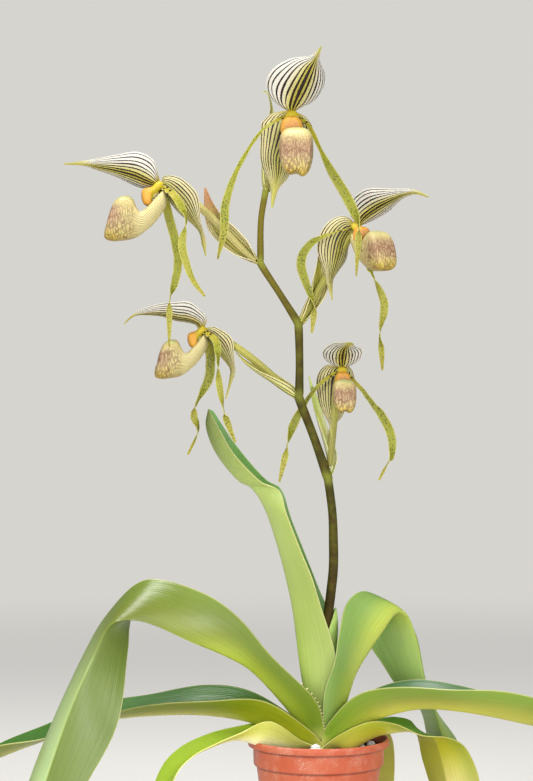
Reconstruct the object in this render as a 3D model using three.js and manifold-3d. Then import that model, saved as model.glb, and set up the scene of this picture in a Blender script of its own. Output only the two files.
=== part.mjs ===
// A slipper orchid, Paphiopedilum kolopakingii, with five open flowers on one zigzag stem, in a plastic pot.
// Millimetres, +Z up, -Y to the front; the origin is the centre of the pot's underside.
import * as THREE from "three";
import { mergeVertices } from "three/addons/utils/BufferGeometryUtils.js";
import Module from "manifold-3d";

const wasm = await Module();
wasm.setup();

// Driving dimensions, in millimetres
const GAP = 0.35; // clear space left between two pieces that touch
const POT = {
  rimRadius: 60,
  height: 105,
  lipHeight: 6,
  collarRadius: 55.8,
  collarHeight: 16,
  bodyTopRadius: 52.8,
  baseRadius: 42,
  wall: 1.8,
  sides: 36,
  drainRadius: 4,
  drainCircle: 28,
  drains: 6,
};
const MEDIUM_TOP = 94.3; // height of the potting bark at the pot's wall
const CROWN = { x: 3.5, bottom: 60, shoulder: 94.5, top: 103, radius: 16, neck: 4.5 };
const LEAF_THICKNESS = 0.9;
const SEPAL_THICKNESS = 0.75;
const PETAL_THICKNESS = 0.7;
const BRACT_THICKNESS = 0.7;
const POUCH_WALL = 1;

const COLOUR = {
  pot: 0xcf6a45,
  bark: 0x4a3423,
  perlite: 0xe9e6de,
  crown: 0xb5b46a,
  leaf: 0x8fae54,
  stem: 0x5a5218,
  ovary: 0x9a9a3a,
  bract: 0xb3bf6a,
  sepal: 0xe6e2b8,
  petal: 0xa9a92f,
  pouch: 0xd8c77a,
  shield: 0xe6a357,
};

// Vectors
const vec = (p) => new THREE.Vector3(...p);
const mix = (a, b, t) => a.clone().lerp(b, t);

// A smooth curve through points; parameter 0 to 1 reaches point i at i / (count - 1).
const smooth = (points) => new THREE.CatmullRomCurve3(points.map(vec), false, "catmullrom", 0.5);

// A smooth change of a single number along the same parameter.
function along(values) {
  const curve = smooth(values.map((value) => [value, 0, 0]));
  return (t) => curve.getPoint(t).x;
}

// Solids
// A closed solid from points and triangles, turned so that its faces point outwards.
function body(points, triangles) {
  let volume = 0;
  for (const [a, b, c] of triangles) {
    volume += points[a].dot(new THREE.Vector3().crossVectors(points[b], points[c]));
  }
  const index = volume < 0 ? triangles.map(([a, b, c]) => [a, c, b]) : triangles;
  return new wasm.Manifold(
    new wasm.Mesh({
      numProp: 3,
      vertProperties: new Float32Array(points.flatMap((p) => [p.x, p.y, p.z])),
      triVerts: new Uint32Array(index.flat()),
    }),
  );
}

// A solid from a closed three.js geometry.
function solid(geometry) {
  const bare = geometry.clone();
  bare.deleteAttribute("normal");
  bare.deleteAttribute("uv");
  const merged = mergeVertices(bare, 1e-4);
  const position = merged.attributes.position;
  const points = [];
  for (let i = 0; i < position.count; i += 1) {
    points.push(new THREE.Vector3().fromBufferAttribute(position, i));
  }
  const triangles = [];
  for (let i = 0; i < merged.index.count; i += 3) {
    const [a, b, c] = [0, 1, 2].map((k) => merged.index.getX(i + k));
    if (a !== b && b !== c && a !== c) triangles.push([a, b, c]);
  }
  return body(points, triangles);
}

// A solid turned about the Z axis from an outline of [radius, height] that starts and ends on the axis.
function turned(outline, sides) {
  const profile = outline.map(([r, z]) => new THREE.Vector2(r, z));
  return new THREE.LatheGeometry(profile, sides).rotateX(Math.PI / 2);
}

// A solid through closed rings of points, with a cap on each end.
function loft(rings) {
  const count = rings[0].length;
  const points = rings.flat();
  const triangles = [];
  for (let i = 0; i + 1 < rings.length; i += 1) {
    for (let j = 0; j < count; j += 1) {
      const a = i * count + j;
      const b = i * count + ((j + 1) % count);
      triangles.push([a, b, b + count], [a, b + count, a + count]);
    }
  }
  const last = (rings.length - 1) * count;
  for (let j = 1; j + 1 < count; j += 1) {
    triangles.push([0, j + 1, j], [last, last + j, last + j + 1]);
  }
  return body(points, triangles);
}

// A thin blade around a grid of points on its middle surface; both faces are split into triangles alike.
function blade(grid, thickness) {
  const rows = grid.length;
  const columns = grid[0].length;
  const facet = (i, j) => {
    const down = mix(grid[i + 1][j], grid[i + 1][j + 1], 0.5).sub(mix(grid[i][j], grid[i][j + 1], 0.5));
    const over = mix(grid[i][j + 1], grid[i + 1][j + 1], 0.5).sub(mix(grid[i][j], grid[i + 1][j], 0.5));
    return down.cross(over).normalize();
  };
  const offset = (i, j) => {
    const around = [];
    for (const [di, dj] of [[0, 0], [-1, 0], [0, -1], [-1, -1]]) {
      const inside = i + di >= 0 && i + di < rows - 1 && j + dj >= 0 && j + dj < columns - 1;
      if (inside) around.push(facet(i + di, j + dj));
    }
    const normal = around.reduce((sum, n) => sum.add(n), new THREE.Vector3()).normalize();
    const cosine = around.reduce((sum, n) => sum + n.dot(normal), 0) / around.length;
    return normal.multiplyScalar(thickness / 2 / Math.max(0.6, cosine));
  };
  const upper = grid.map((row, i) => row.map((p, j) => p.clone().add(offset(i, j)))).flat();
  const lower = grid.map((row, i) => row.map((p, j) => p.clone().sub(offset(i, j)))).flat();
  const half = rows * columns;
  const triangles = [];
  const quad = (a, b, c, d) => triangles.push([a, b, c], [a, c, d]);
  for (let i = 0; i + 1 < rows; i += 1) {
    for (let j = 0; j + 1 < columns; j += 1) {
      const a = i * columns + j;
      const corners = [a, a + columns, a + columns + 1, a + 1];
      quad(...corners);
      const [p, q, r, s] = corners.map((k) => k + half);
      triangles.push([p, r, q], [p, s, r]);
    }
  }
  for (let i = 0; i + 1 < rows; i += 1) {
    const left = i * columns;
    const right = left + columns - 1;
    quad(left + half, left + columns + half, left + columns, left);
    quad(right, right + columns, right + columns + half, right + half);
  }
  for (let j = 0; j + 1 < columns; j += 1) {
    const last = (rows - 1) * columns + j;
    quad(j, j + 1, j + 1 + half, j + half);
    quad(last + half, last + 1 + half, last + 1, last);
  }
  return body([...upper, ...lower], triangles);
}

// A round rod through points, whose radius changes along it.
function rod(points, radii, sides, steps, ease = 0) {
  const curve = smooth(points);
  const radius = along(radii);
  const rings = [];
  let side = new THREE.Vector3(0, 1, 0);
  for (let i = 0; i <= steps; i += 1) {
    const t = i / steps;
    const tangent = curve.getTangent(t);
    side = side.addScaledVector(tangent, -side.dot(tangent)).normalize();
    const other = tangent.clone().cross(side);
    const centre = curve.getPoint(t);
    if (i === 0) centre.addScaledVector(tangent, -ease);
    if (i === steps) centre.addScaledVector(tangent, ease);
    const ring = [];
    for (let j = 0; j < sides; j += 1) {
      const angle = (2 * Math.PI * j) / sides;
      const out = side.clone().multiplyScalar(Math.cos(angle)).addScaledVector(other, Math.sin(angle));
      ring.push(centre.clone().addScaledVector(out, radius(t) + ease));
    }
    rings.push(ring);
  }
  return loft(rings);
}

// Leaves
// A leaf is a folded blade across three lines: its keel, its near margin and its far margin.
// Each station lists a point on each of the three, from the crown to the tip.
// clasp is the radius at which the leaf's base wraps the crown, and side is the side of its keel.
const LEAVES = {
  leaf_9: {
    side: 1,
    clasp: 6.2,
    steps: 10,
    stations: [
      [[11, 1, 124], [3, -7, 130], [3, 9, 129]],
      [[13, 2, 150], [3, -8, 155], [3, 10, 155]],
      [[15, 2, 175], [5, -8, 181], [5, 10, 180]],
      [[16.5, 1, 197], [9, -6, 198], [9, 8, 200]],
      [[16, 1, 210], [12, -3, 209], [11.5, 4, 211]],
      [[15, 1, 216], [14.2, 0, 215.5], [14.5, 2, 216]],
    ],
  },
  leaf_2: {
    side: -1,
    clasp: 7.5,
    steps: 20,
    stations: [
      [[-9, 0, 119], [7, -10, 120], [7, 12, 120]],
      [[-13, 0, 143], [11, -14, 146], [11, 17, 145]],
      [[-17.5, 0, 176], [12.6, -19, 178], [13, 21, 173]],
      [[-22, 0, 212], [3, -22, 216], [8, 23, 208]],
      [[-28, 1, 241], [-4.5, -24, 241], [0.5, 22, 230]],
      [[-36, 2, 271], [-17, -22, 268], [-11, 22, 262]],
      [[-46, 4, 300], [-28, -18, 296], [-23, 21, 291]],
      [[-57, 6, 317], [-33, -10, 316], [-32.5, 20, 315]],
      [[-70, 8, 325], [-49, -6, 324], [-46.5, 22, 325]],
      [[-87.5, 10, 347], [-73.5, -2, 348], [-70, 25, 354]],
      [[-96, 12, 369], [-89, 4, 375], [-88, 22, 380]],
      [[-94.6, 13, 384], [-94, 12.2, 384.8], [-93.6, 14, 384.8]],
    ],
  },
  leaf_3: {
    side: 1,
    clasp: 8.8,
    steps: 20,
    stations: [
      [[19, 0, 119], [3, -11, 122], [8, 14, 118]],
      [[25.5, 1, 139], [5, -14, 149], [18, 24, 143]],
      [[32, 4, 159], [12, -14, 172], [32, 34, 164]],
      [[43.5, 10, 179], [16, -10, 195], [49, 42, 184]],
      [[57.5, 18, 198], [23.5, 4, 219], [63, 50, 198]],
      [[69, 27, 210], [39.5, 18, 228], [66.5, 58, 198]],
      [[78.5, 36, 205], [61, 36, 216.5], [54, 55, 181]],
      [[86, 42, 184], [85, 54, 189], [57.5, 52, 162]],
      [[94, 50, 147], [93.5, 77, 145], [72, 63, 140]],
      [[104, 56, 118], [106.5, 84, 116], [92, 78, 118]],
      [[113, 60, 86], [127, 82, 84], [101, 78, 85]],
      [[119.7, 61, 55.7], [121, 62, 55.2], [119, 63, 55.2]],
    ],
  },
  leaf_1: {
    side: -1,
    clasp: 10.1,
    steps: 22,
    stations: [
      [[-17, -3, 115], [4, -13, 118], [3, 17, 116]],
      [[-30, -9, 133], [-4, -22, 143], [-14, 20, 141]],
      [[-56, -18, 163], [-40, -36, 180], [-45, 14, 172]],
      [[-80, -26, 178], [-66, -36, 209], [-74, 10, 194]],
      [[-109, -34, 191], [-94, -30, 228], [-104, 5, 207]],
      [[-141, -43, 207], [-132, -22, 241], [-142, -2, 212]],
      [[-161.5, -50, 210.5], [-154.5, -16, 237.5], [-156.5, -10, 213]],
      [[-175, -56, 205], [-179, -14, 211], [-160, -20, 202]],
      [[-186, -62, 183], [-196, -20, 183], [-160, -36, 182]],
      [[-206, -68, 137], [-221, -28, 131], [-166, -60, 127]],
      [[-225, -71, 81], [-242, -38, 76], [-190, -73, 81]],
      [[-234.5, -72, 49], [-248.5, -50, 43], [-211.5, -75, 46]],
      [[-242, -72, 14.5], [-243, -71, 14], [-241, -73, 14]],
    ],
  },
  leaf_4: {
    side: 1,
    clasp: 11.4,
    steps: 18,
    stations: [
      [[23, -4, 105], [7, -15, 120], [9, 14, 112]],
      [[50, -14, 122], [32, -27, 144], [41, 10, 143]],
      [[81, -21, 132], [71, -42, 154], [77, 4, 153]],
      [[114, -29, 132], [114, -52, 153.5], [120, -4, 150]],
      [[159, -37, 125], [160, -59, 150], [163, -11, 141]],
      [[208, -44, 113], [211, -64, 137], [215, -20, 127]],
      [[257, -48, 90], [263, -63, 110], [266, -28, 99]],
      [[307, -50, 49], [308, -52, 50.5], [308, -48, 50]],
    ],
  },
  leaf_5: {
    side: -1,
    clasp: 12.7,
    steps: 18,
    stations: [
      [[-20, -3, 105], [-9, -18, 115], [-10, 16, 114]],
      [[-57, 1, 117], [-48, -24, 139], [-53, 24, 140]],
      [[-95.5, 7, 123], [-92, -19, 140], [-96, 32, 145]],
      [[-144, 12, 122], [-141, -14, 135], [-144, 37, 138]],
      [[-190, 15, 116], [-187, -13, 123.5], [-192, 41, 129]],
      [[-236, 16, 100], [-230, -12, 107.5], [-235, 42, 110]],
      [[-281, 15, 82], [-277, -10, 98], [-281, 38, 92]],
      [[-324, 14, 58], [-318, -6, 72], [-324, 31, 64]],
      [[-362.5, 13, 28], [-361.5, 11.5, 29], [-362, 14.5, 29]],
    ],
  },
  leaf_7: {
    side: 1,
    clasp: 14,
    steps: 18,
    stations: [
      [[28, -6, 99.5], [18, -20, 111.5], [25, 16, 110]],
      [[50, 0, 105.5], [43, -23, 122], [53, 26, 117]],
      [[68, 10, 108], [65, -14, 119], [68, 36, 117]],
      [[85, 22, 107], [88, 2, 107], [82, 46, 112]],
      [[101, 35, 99], [112.5, 18, 102], [88, 52, 98]],
      [[107.5, 43, 82], [129, 30, 90], [92, 55, 79]],
      [[112.5, 47, 60], [141, 40, 61], [99, 57, 56]],
      [[117, 49, 36], [140, 46, 33.5], [106, 56, 33]],
      [[119.5, 50, 10], [121, 50, 10.5], [118, 51, 10]],
    ],
  },
  leaf_6: {
    side: -1,
    clasp: 15.3,
    steps: 16,
    stations: [
      [[-24, -7, 100.5], [-13.5, -20, 106], [-16, 9, 105.5]],
      [[-48, -14, 105.5], [-40.5, -33, 124], [-48, 6, 117]],
      [[-70, -21, 106.5], [-66, -42, 115], [-70, -1, 115]],
      [[-90, -29, 102], [-86, -47, 107.5], [-95, -12, 109.5]],
      [[-110, -36, 93], [-105, -52, 98.5], [-118, -20, 99]],
      [[-125.5, -41, 77], [-119, -56, 83], [-133.5, -27, 82.5]],
      [[-136, -44, 50], [-129, -55, 52.5], [-142.5, -34, 52]],
      [[-142, -44, 9], [-141, -45, 9.3], [-143, -43, 9.3]],
    ],
  },
  leaf_8: {
    side: 1,
    clasp: 16.6,
    steps: 14,
    behind: true,
    stations: [
      [[15.5, 19, 102.5], [24, 15, 103.5], [7, 24, 103]],
      [[30, 38, 108], [42, 30, 110], [20, 46, 107]],
      [[46.5, 58, 106], [58, 48, 107.5], [34.5, 66, 104.5]],
      [[56, 74, 90], [67, 66, 91], [46, 80, 88]],
      [[58, 82, 62], [69, 78, 63], [48, 87, 61]],
      [[57.5, 84, 32], [66, 81, 33], [48.5, 87, 32]],
      [[56.5, 84, 8], [58, 83.5, 8.3], [55, 85, 8]],
    ],
  },
};
const LEAF_ACROSS = 4; // facets across a leaf
const CLASP_BULGE = 0.15; // how round the fold is at the crown
const BLADE_BULGE = 0.05; // and further out

// Height of the crown's cone at a radius.
const crownHeight = (r) =>
  CROWN.top - ((r - CROWN.neck) / (CROWN.radius - CROWN.neck)) * (CROWN.top - CROWN.shoulder);

// The three points of a leaf where it leaves the crown.
function leafBase({ side, clasp, behind }) {
  const z = crownHeight(clasp) + 1.2;
  if (behind) {
    const turn = (angle, rise) => [
      CROWN.x + clasp * Math.cos(angle),
      clasp * Math.sin(angle),
      z + rise,
    ];
    return [turn(1.0, 0), turn(0.55, 1), turn(1.45, 1)];
  }
  return [
    [CROWN.x + side * clasp, 0.5, z],
    [CROWN.x - side * 2, -clasp, z + 1],
    [CROWN.x - side * 2, clasp, z + 1],
  ];
}

// A point across a folded leaf: v runs from -1 at the near margin over 0 at the keel to 1 at the far margin.
function acrossFold(keel, near, far, v, bulge) {
  const toNear = near.clone().sub(keel);
  const toFar = far.clone().sub(keel);
  const back = toNear.clone().normalize().add(toFar.clone().normalize()).negate();
  const span = v < 0 ? toNear : toFar;
  const w = Math.abs(v);
  return keel
    .clone()
    .addScaledVector(span, w)
    .addScaledVector(back, span.length() * bulge * 4 * w * (1 - w));
}

function leaf(spec, ease = 0) {
  const stations = [leafBase(spec), ...spec.stations];
  const lines = [0, 1, 2].map((k) => smooth(stations.map((station) => station[k])));
  const grid = [];
  for (let i = 0; i <= spec.steps; i += 1) {
    const t = i / spec.steps;
    const [keel, near, far] = lines.map((line) => line.getPoint(t));
    const outwards = Math.min(1, (t * stations.length) / 3);
    const bulge = THREE.MathUtils.lerp(CLASP_BULGE, BLADE_BULGE, outwards);
    const row = [];
    for (let j = 0; j <= LEAF_ACROSS; j += 1) {
      const v = (2 * j) / LEAF_ACROSS - 1;
      const reach = 1 + ease / Math.max(2, near.distanceTo(keel));
      row.push(acrossFold(keel, near, far, v * reach, bulge));
    }
    grid.push(row);
  }
  return blade(grid, LEAF_THICKNESS + 2 * ease);
}

// Sepals, petals and bracts
// A strip follows stations of [x, y, z, half width], measured from an origin.
// face is the way its inner face looks, one direction or one per station.
// curl is the angle through which each half bends, towards the inner face where it is positive.
function strip({ origin, stations, face, curl, across, steps, thickness }, ease = 0) {
  const start = vec(origin);
  const spine = smooth(stations.map(([x, y, z]) => [x, y, z]));
  const halfWidth = along(stations.map((station) => station[3]));
  const faces = Array.isArray(face[0]) ? smooth(face) : null;
  const grid = [];
  for (let i = 0; i <= steps; i += 1) {
    const t = i / steps;
    const tangent = spine.getTangent(t);
    const inner = faces ? faces.getPoint(t) : vec(face);
    inner.addScaledVector(tangent, -inner.dot(tangent)).normalize();
    const sideways = tangent.clone().cross(inner);
    const half = Math.max(0.4, halfWidth(t)) + ease;
    const centre = start.clone().add(spine.getPoint(t));
    const row = [];
    for (let j = 0; j <= across; j += 1) {
      const v = (2 * j) / across - 1;
      const bend = Math.abs(curl) < 1e-3 ? 1e-3 : curl;
      const out = (half * Math.sin(bend * v)) / bend;
      const rise = (half * (1 - Math.cos(bend * v))) / bend;
      row.push(centre.clone().addScaledVector(sideways, out).addScaledVector(inner, rise));
    }
    grid.push(row);
  }
  return blade(grid, thickness + 2 * ease);
}

// Flowers
// Every flower is measured from its heart, where all its pieces meet.
// azimuth is the compass direction in which the pouch points, in degrees from +X, and tilt lifts its toe.
const FLOWERS = [
  {
    heart: [20.1, 5, 418.2],
    azimuth: -86,
    tilt: -3,
    size: 0.72,
    dorsal: {
      face: [0, -0.6, -0.8],
      stations: [
        [-0.2, -0.3, 1.1, 3],
        [1, -8, 7.5, 15],
        [3, -19, 12.5, 17],
        [5, -29, 16, 11],
        [7, -37, 17.5, 3.5],
        [9, -43, 18, 1],
      ],
    },
    synsepal: {
      face: [0.1, -0.98, -0.1],
      stations: [
        [-1.2, 1.2, -1.5, 3],
        [-7, 3, -8, 11],
        [-10, 4, -16, 14],
        [-10.8, 4, -27, 13],
        [-8.3, 2, -40, 8],
        [-7.8, 0, -47, 3],
        [-8.7, -2, -57, 1],
      ],
    },
    left: {
      stations: [
        [-2.2, 0, -0.2, 2],
        [-13.6, 1, -7.7, 2.2],
        [-22, 2.5, -15.4, 2.2],
        [-31, 4.5, -27.5, 2.4],
        [-41, 5.5, -46, 3.6],
        [-46, 4, -60.5, 2.6],
        [-49, 1, -76, 2.9],
        [-53.5, -2, -95.5, 0.9],
      ],
      face: [
        [0.3, -0.7, 0.7],
        [0.3, -0.7, 0.7],
        [0.3, -0.8, 0.6],
        [0.3, -1, 0.3],
        [0, -1, 0],
        [1, -0.3, 0],
        [0.4, 1, 0],
        [-0.5, 1, 0],
      ],
    },
    right: {
      stations: [
        [2, 0, -1, 2.2],
        [10, -1, -9.4, 2.6],
        [18, -1, -18, 2.4],
        [26.5, 0, -29.5, 2.8],
        [34, 0, -39, 3.4],
        [42, -1, -56, 3.6],
        [42.2, -2, -73, 3],
        [38.7, -2, -79.5, 2.2],
        [31.4, -2, -94, 0.9],
      ],
      face: [
        [-0.3, -1, 0.3],
        [-0.3, -1, 0.3],
        [-0.5, -0.7, 0.6],
        [-0.3, -1, 0.2],
        [-0.2, -1, 0.1],
        [0, -1, 0],
        [0.6, -0.7, 0],
        [1, 0.1, 0],
        [0.3, 1, 0],
      ],
    },
    ovary: [[20, 7.6, 417.2], [17.6, 11, 403], [14, 9, 384], [12.5, 7, 367], [11, 4.5, 350], [9.4, 3.5, 337]],
    bract: {
      face: [0.75, -0.6, 0],
      stations: [
        [-12, 3, -87, 3.5],
        [-12.5, 5, -77, 5.5],
        [-15, 7, -63, 6.5],
        [-19, 8, -46, 6.5],
        [-24, 9, -28, 5],
        [-28.2, 9, -5, 0.8],
      ],
    },
  },
  {
    heart: [-100, 12, 452.5],
    azimuth: 184,
    tilt: 0,
    size: 0.9,
    dorsal: {
      face: [0.1, -0.4, -0.92],
      stations: [
        [-1.1, 0, 1.4, 3],
        [-10, -1, 6, 17],
        [-20, -2, 9, 19],
        [-34, -3, 13, 13],
        [-50, -3, 13.3, 5.5],
        [-58, -3, 11.5, 2.5],
        [-66, -3, 5, 1],
      ],
    },
    synsepal: {
      face: [-0.6, -0.5, -0.5],
      stations: [
        [2.1, 0, -1.8, 3],
        [9, 0, -13, 16],
        [16.5, 0, -22, 18],
        [23.5, 0, -31, 11],
        [24.5, -1, -41, 5],
        [22.5, -1, -51, 2.5],
        [20.5, -1, -59, 0.9],
      ],
    },
    left: {
      stations: [
        [1, 2, -1.8, 2.6],
        [4, 9, -9, 3.6],
        [7, 11, -19, 4.1],
        [7.3, 12, -30, 4.1],
        [5.5, 12, -43, 3.9],
        [-5, 11, -63, 2.6],
        [-6.7, 10, -74, 3.1],
        [-3, 9, -87, 2.4],
        [-12, 9, -107, 0.9],
      ],
      face: [
        [-0.5, -1, 0.3],
        [-0.3, -1, 0],
        [0, -1, 0],
        [0, -1, 0],
        [0, -1, 0],
        [1, -0.2, 0],
        [0.2, 1, 0],
        [-1, 0.1, 0],
        [-0.2, -1, 0],
      ],
    },
    right: {
      stations: [
        [1.5, -2, -1, 2.8],
        [10.5, -10, -7, 4.2],
        [14, -14, -14.5, 4],
        [14.2, -16, -30, 2.8],
        [15.5, -17, -46, 2.9],
        [19.5, -17, -68, 2.4],
        [22.5, -17, -79, 2.8],
        [29.4, -17, -96, 0.9],
      ],
      face: [
        [0, -1, 0.3],
        [0, -1, 0.3],
        [0.1, -1, 0],
        [1, -0.2, 0],
        [0.1, 1, 0],
        [-1, 0.1, 0],
        [0, -1, 0],
        [0.2, -1, 0],
      ],
    },
    ovary: [[-97.6, 12.2, 452], [-84, 12, 446], [-66, 10, 435], [-47.5, 6, 420.5], [-30, 3, 405], [-19.5, 1, 396]],
    bract: {
      face: [0.6, 0, 0.8],
      stations: [
        [83, -12, -61.5, 4],
        [71, -12, -56.5, 6.5],
        [57, -10, -46, 8],
        [43, -7, -35, 7],
        [33, -4, -25.5, 4],
        [29.5, -2, -19, 0.8],
      ],
    },
  },
  {
    heart: [33.6, 12, 541],
    azimuth: -54,
    tilt: 5,
    size: 0.93,
    dorsal: {
      face: [0.25, -0.8, -0.55],
      stations: [
        [0.8, -0.6, 1.7, 3],
        [6, -3, 9, 15],
        [15.5, -9, 15.5, 18],
        [26, -15, 20.5, 12.5],
        [37, -21, 25, 6],
        [48, -27, 26.5, 2.5],
        [58.5, -32, 22.5, 0.9],
      ],
    },
    synsepal: {
      face: [0.5, -0.85, -0.15],
      stations: [
        [-1.5, 1.2, -1.8, 3],
        [-7, 3, -8, 14],
        [-11, 4, -19.5, 19.5],
        [-17.3, 4, -32, 15],
        [-21.6, 3, -43, 7],
        [-23.8, 2, -53, 3],
        [-21.6, 0, -63, 0.9],
      ],
    },
    left: {
      stations: [
        [-2, -0.8, -0.4, 2.4],
        [-17, -5, -4.5, 3],
        [-29, -7, -9, 3.2],
        [-39.5, -9, -14.5, 3.4],
        [-47.2, -10, -25, 3.8],
        [-48, -11, -37, 3.9],
        [-42.3, -11, -54, 3],
        [-38.1, -11, -66, 2.6],
        [-37.8, -11, -77, 2.7],
        [-39.3, -11, -91.5, 0.9],
      ],
      face: [
        [0.3, -0.2, 1],
        [0.2, -0.2, 1],
        [0.3, -0.8, 0.7],
        [0.3, -1, 0.3],
        [0.2, -1, 0],
        [0, -1, 0],
        [0.2, -1, 0],
        [1, -0.2, 0],
        [0.2, 1, 0],
        [0, 1, 0],
      ],
    },
    right: {
      stations: [
        [1.2, 2.2, -1.2, 2.6],
        [6.5, 10, -19, 3.4],
        [10.8, 10, -35, 3.4],
        [13.7, 8, -43, 2.8],
        [21.7, 3, -60.5, 3.3],
        [22.8, 0, -72, 3.4],
        [19.4, -1, -90, 2.3],
        [20.5, -2, -106, 2.6],
        [21.2, -2, -123, 0.9],
      ],
      face: [
        [0.5, -1, 0],
        [0.3, -1, 0],
        [0.6, -0.8, 0],
        [1, -0.3, 0],
        [0.3, 1, 0],
        [0.1, 1, 0],
        [-1, 0.2, 0],
        [-0.3, -1, 0],
        [0, -1, 0],
      ],
    },
    ovary: [[32, 14.3, 539.4], [23.5, 16, 526.5], [13, 14, 509.5], [3, 9, 491], [-8, 4, 472.5], [-16, 1.5, 459]],
    bract: {
      face: [0.75, -0.6, -0.2],
      stations: [
        [-51.3, -8, -84.5, 3.5],
        [-47.3, -6, -73, 6],
        [-42.3, -3, -61, 7.5],
        [-37.8, 0, -49, 7.5],
        [-34.3, 3, -35, 4.5],
        [-32.3, 4, -20, 1.8],
        [-31.8, 4, -6, 0.8],
      ],
    },
  },
  {
    heart: [-133.2, -35, 571.5],
    azimuth: 180,
    tilt: 0,
    size: 0.98,
    dorsal: {
      face: [0.1, -0.7, -0.7],
      stations: [
        [-1.1, 0, 1.1, 3],
        [-10, -1, 4, 17],
        [-22, -2, 9, 20.5],
        [-37, -2, 13, 14],
        [-53, -2, 16, 7.5],
        [-63, -2, 17.8, 3],
        [-80, -2, 18, 0.9],
      ],
    },
    synsepal: {
      face: [-0.54, -0.7, -0.46],
      stations: [
        [1.8, 0, -1.8, 3],
        [9, 0, -11.5, 18],
        [18.5, 0, -20.5, 22],
        [27.5, 0, -30, 14],
        [33, 0, -41, 5.5],
        [36, 0, -50, 2.5],
        [37.6, 0, -58.5, 0.9],
      ],
    },
    left: {
      stations: [
        [0.5, 2.2, -1.5, 2.6],
        [3, 9, -10, 3.4],
        [6, 10, -21, 3.7],
        [13, 10, -49, 3.7],
        [14.6, 10, -64, 3.6],
        [12, 10, -80, 3.2],
        [7.6, 10, -93, 2.1],
        [7.3, 10, -108, 2.5],
        [7.2, 10, -134, 0.8],
      ],
      face: [
        [-0.5, -1, 0],
        [-0.2, -1, 0],
        [0, -1, 0],
        [0, -1, 0],
        [0, -1, 0],
        [0.2, -1, 0],
        [1, -0.1, 0],
        [0.1, 1, 0],
        [0.6, 0.8, 0],
      ],
    },
    right: {
      stations: [
        [1.8, -2, -1.2, 2.8],
        [11.5, -10, -8, 4.4],
        [17.5, -14, -17, 4],
        [22, -17, -30, 2.8],
        [19, -18, -49, 3.4],
        [22.5, -19, -65, 3],
        [28.5, -19, -80, 2.6],
        [38, -19, -93, 0.9],
      ],
      face: [
        [0, -1, 0.3],
        [0, -1, 0.3],
        [0.2, -1, 0],
        [1, -0.2, 0],
        [0.1, 1, 0],
        [-0.2, 1, 0],
        [-0.7, 0.8, 0],
        [-0.3, 1, 0],
      ],
    },
    ovary: [[-130.8, -34.2, 570.8], [-116, -28.5, 565.5], [-98, -20, 553], [-81, -12, 536.5], [-65, -6, 520.5], [-54.5, -2.5, 511.5]],
    bract: {
      face: [0.1, -1, 0.1],
      stations: [
        [82, 38, -64, 4],
        [70, 36, -53.5, 6],
        [57, 31.5, -40.5, 7.5],
        [46, 26, -27, 8],
        [39, 22, -12, 4.2],
        [37, 20, 0.5, 0.8],
      ],
    },
  },
  {
    heart: [-18.7, -28, 629.1],
    azimuth: -92,
    tilt: -5,
    size: 1.02,
    dorsal: {
      face: [0.3, -0.85, -0.4],
      stations: [
        [-0.3, -0.6, 1.7, 3],
        [0, -4, 11, 21],
        [2.5, -9, 18, 28],
        [6.5, -16, 28, 27],
        [10.5, -22, 37, 18.5],
        [14.5, -26, 45, 6.5],
        [18, -30, 53, 1.8],
        [20.5, -31, 56.5, 0.8],
      ],
    },
    synsepal: {
      face: [0.05, -0.98, -0.15],
      stations: [
        [-2.1, 1.8, -0.6, 3],
        [-12, 5, -3, 14],
        [-16.5, 7, -12, 19],
        [-19.3, 8, -25, 20],
        [-19.8, 7, -38, 17],
        [-19.3, 5, -50, 11],
        [-19.2, 3, -60, 3],
        [-21, 0, -75, 0.9],
      ],
    },
    left: {
      stations: [
        [-2.5, -0.2, 0.8, 2.3],
        [-18.5, -5, -3.5, 2.8],
        [-32.3, -8, -15, 3],
        [-49.5, -10, -43.5, 3.3],
        [-59.5, -11, -72, 3.5],
        [-61, -11, -95, 3.4],
        [-66.5, -11, -119, 0.9],
      ],
      face: [
        [-0.5, 0.2, 1],
        [-0.6, -0.3, 0.8],
        [-0.7, -0.5, 0.5],
        [-0.7, -0.9, 0],
        [-0.2, -1, 0],
        [0.2, -1, 0],
        [0.8, -0.8, 0],
      ],
    },
    right: {
      stations: [
        [2.5, -0.2, 0, 2.4],
        [10, -4, -7.5, 2.5],
        [20, -7, -29, 2.6],
        [28.5, -8, -45.5, 3.7],
        [38.6, -8, -62, 4.2],
        [47, -8, -78, 4],
        [51.7, -8, -90, 2.6],
        [51, -8, -104, 2.9],
        [49.3, -8, -133, 0.8],
      ],
      face: [
        [0.6, -0.5, 0.6],
        [0.8, -0.6, 0.4],
        [0.9, -0.5, 0.3],
        [0.3, -1, 0],
        [0, -1, 0],
        [-0.3, -1, 0],
        [-1, -0.3, 0],
        [-0.3, 1, 0],
        [-0.6, 0.8, 0],
      ],
    },
    ovary: [[-19, -25.4, 628.6], [-24.5, -17.5, 619], [-31, -10, 605.5], [-37, -4.5, 590.5], [-42, -1.5, 578.5], [-44.4, -0.5, 573.2]],
    bract: {
      face: [0.6, -0.75, 0],
      stations: [
        [-26.5, 29, -60, 3.5],
        [-28, 31, -52, 5.5],
        [-29, 36, -38, 7],
        [-27.5, 40, -19, 7],
        [-24, 42, -4, 5],
        [-23.5, 42, 8, 2.5],
        [-29, 40, 22, 0.8],
      ],
    },
  },
];
const SEPAL_CURL = -1.05; // both sepals bend their sides back
const PETAL_CURL = 0.25;
const BRACT_CURL = 1.25;

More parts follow.
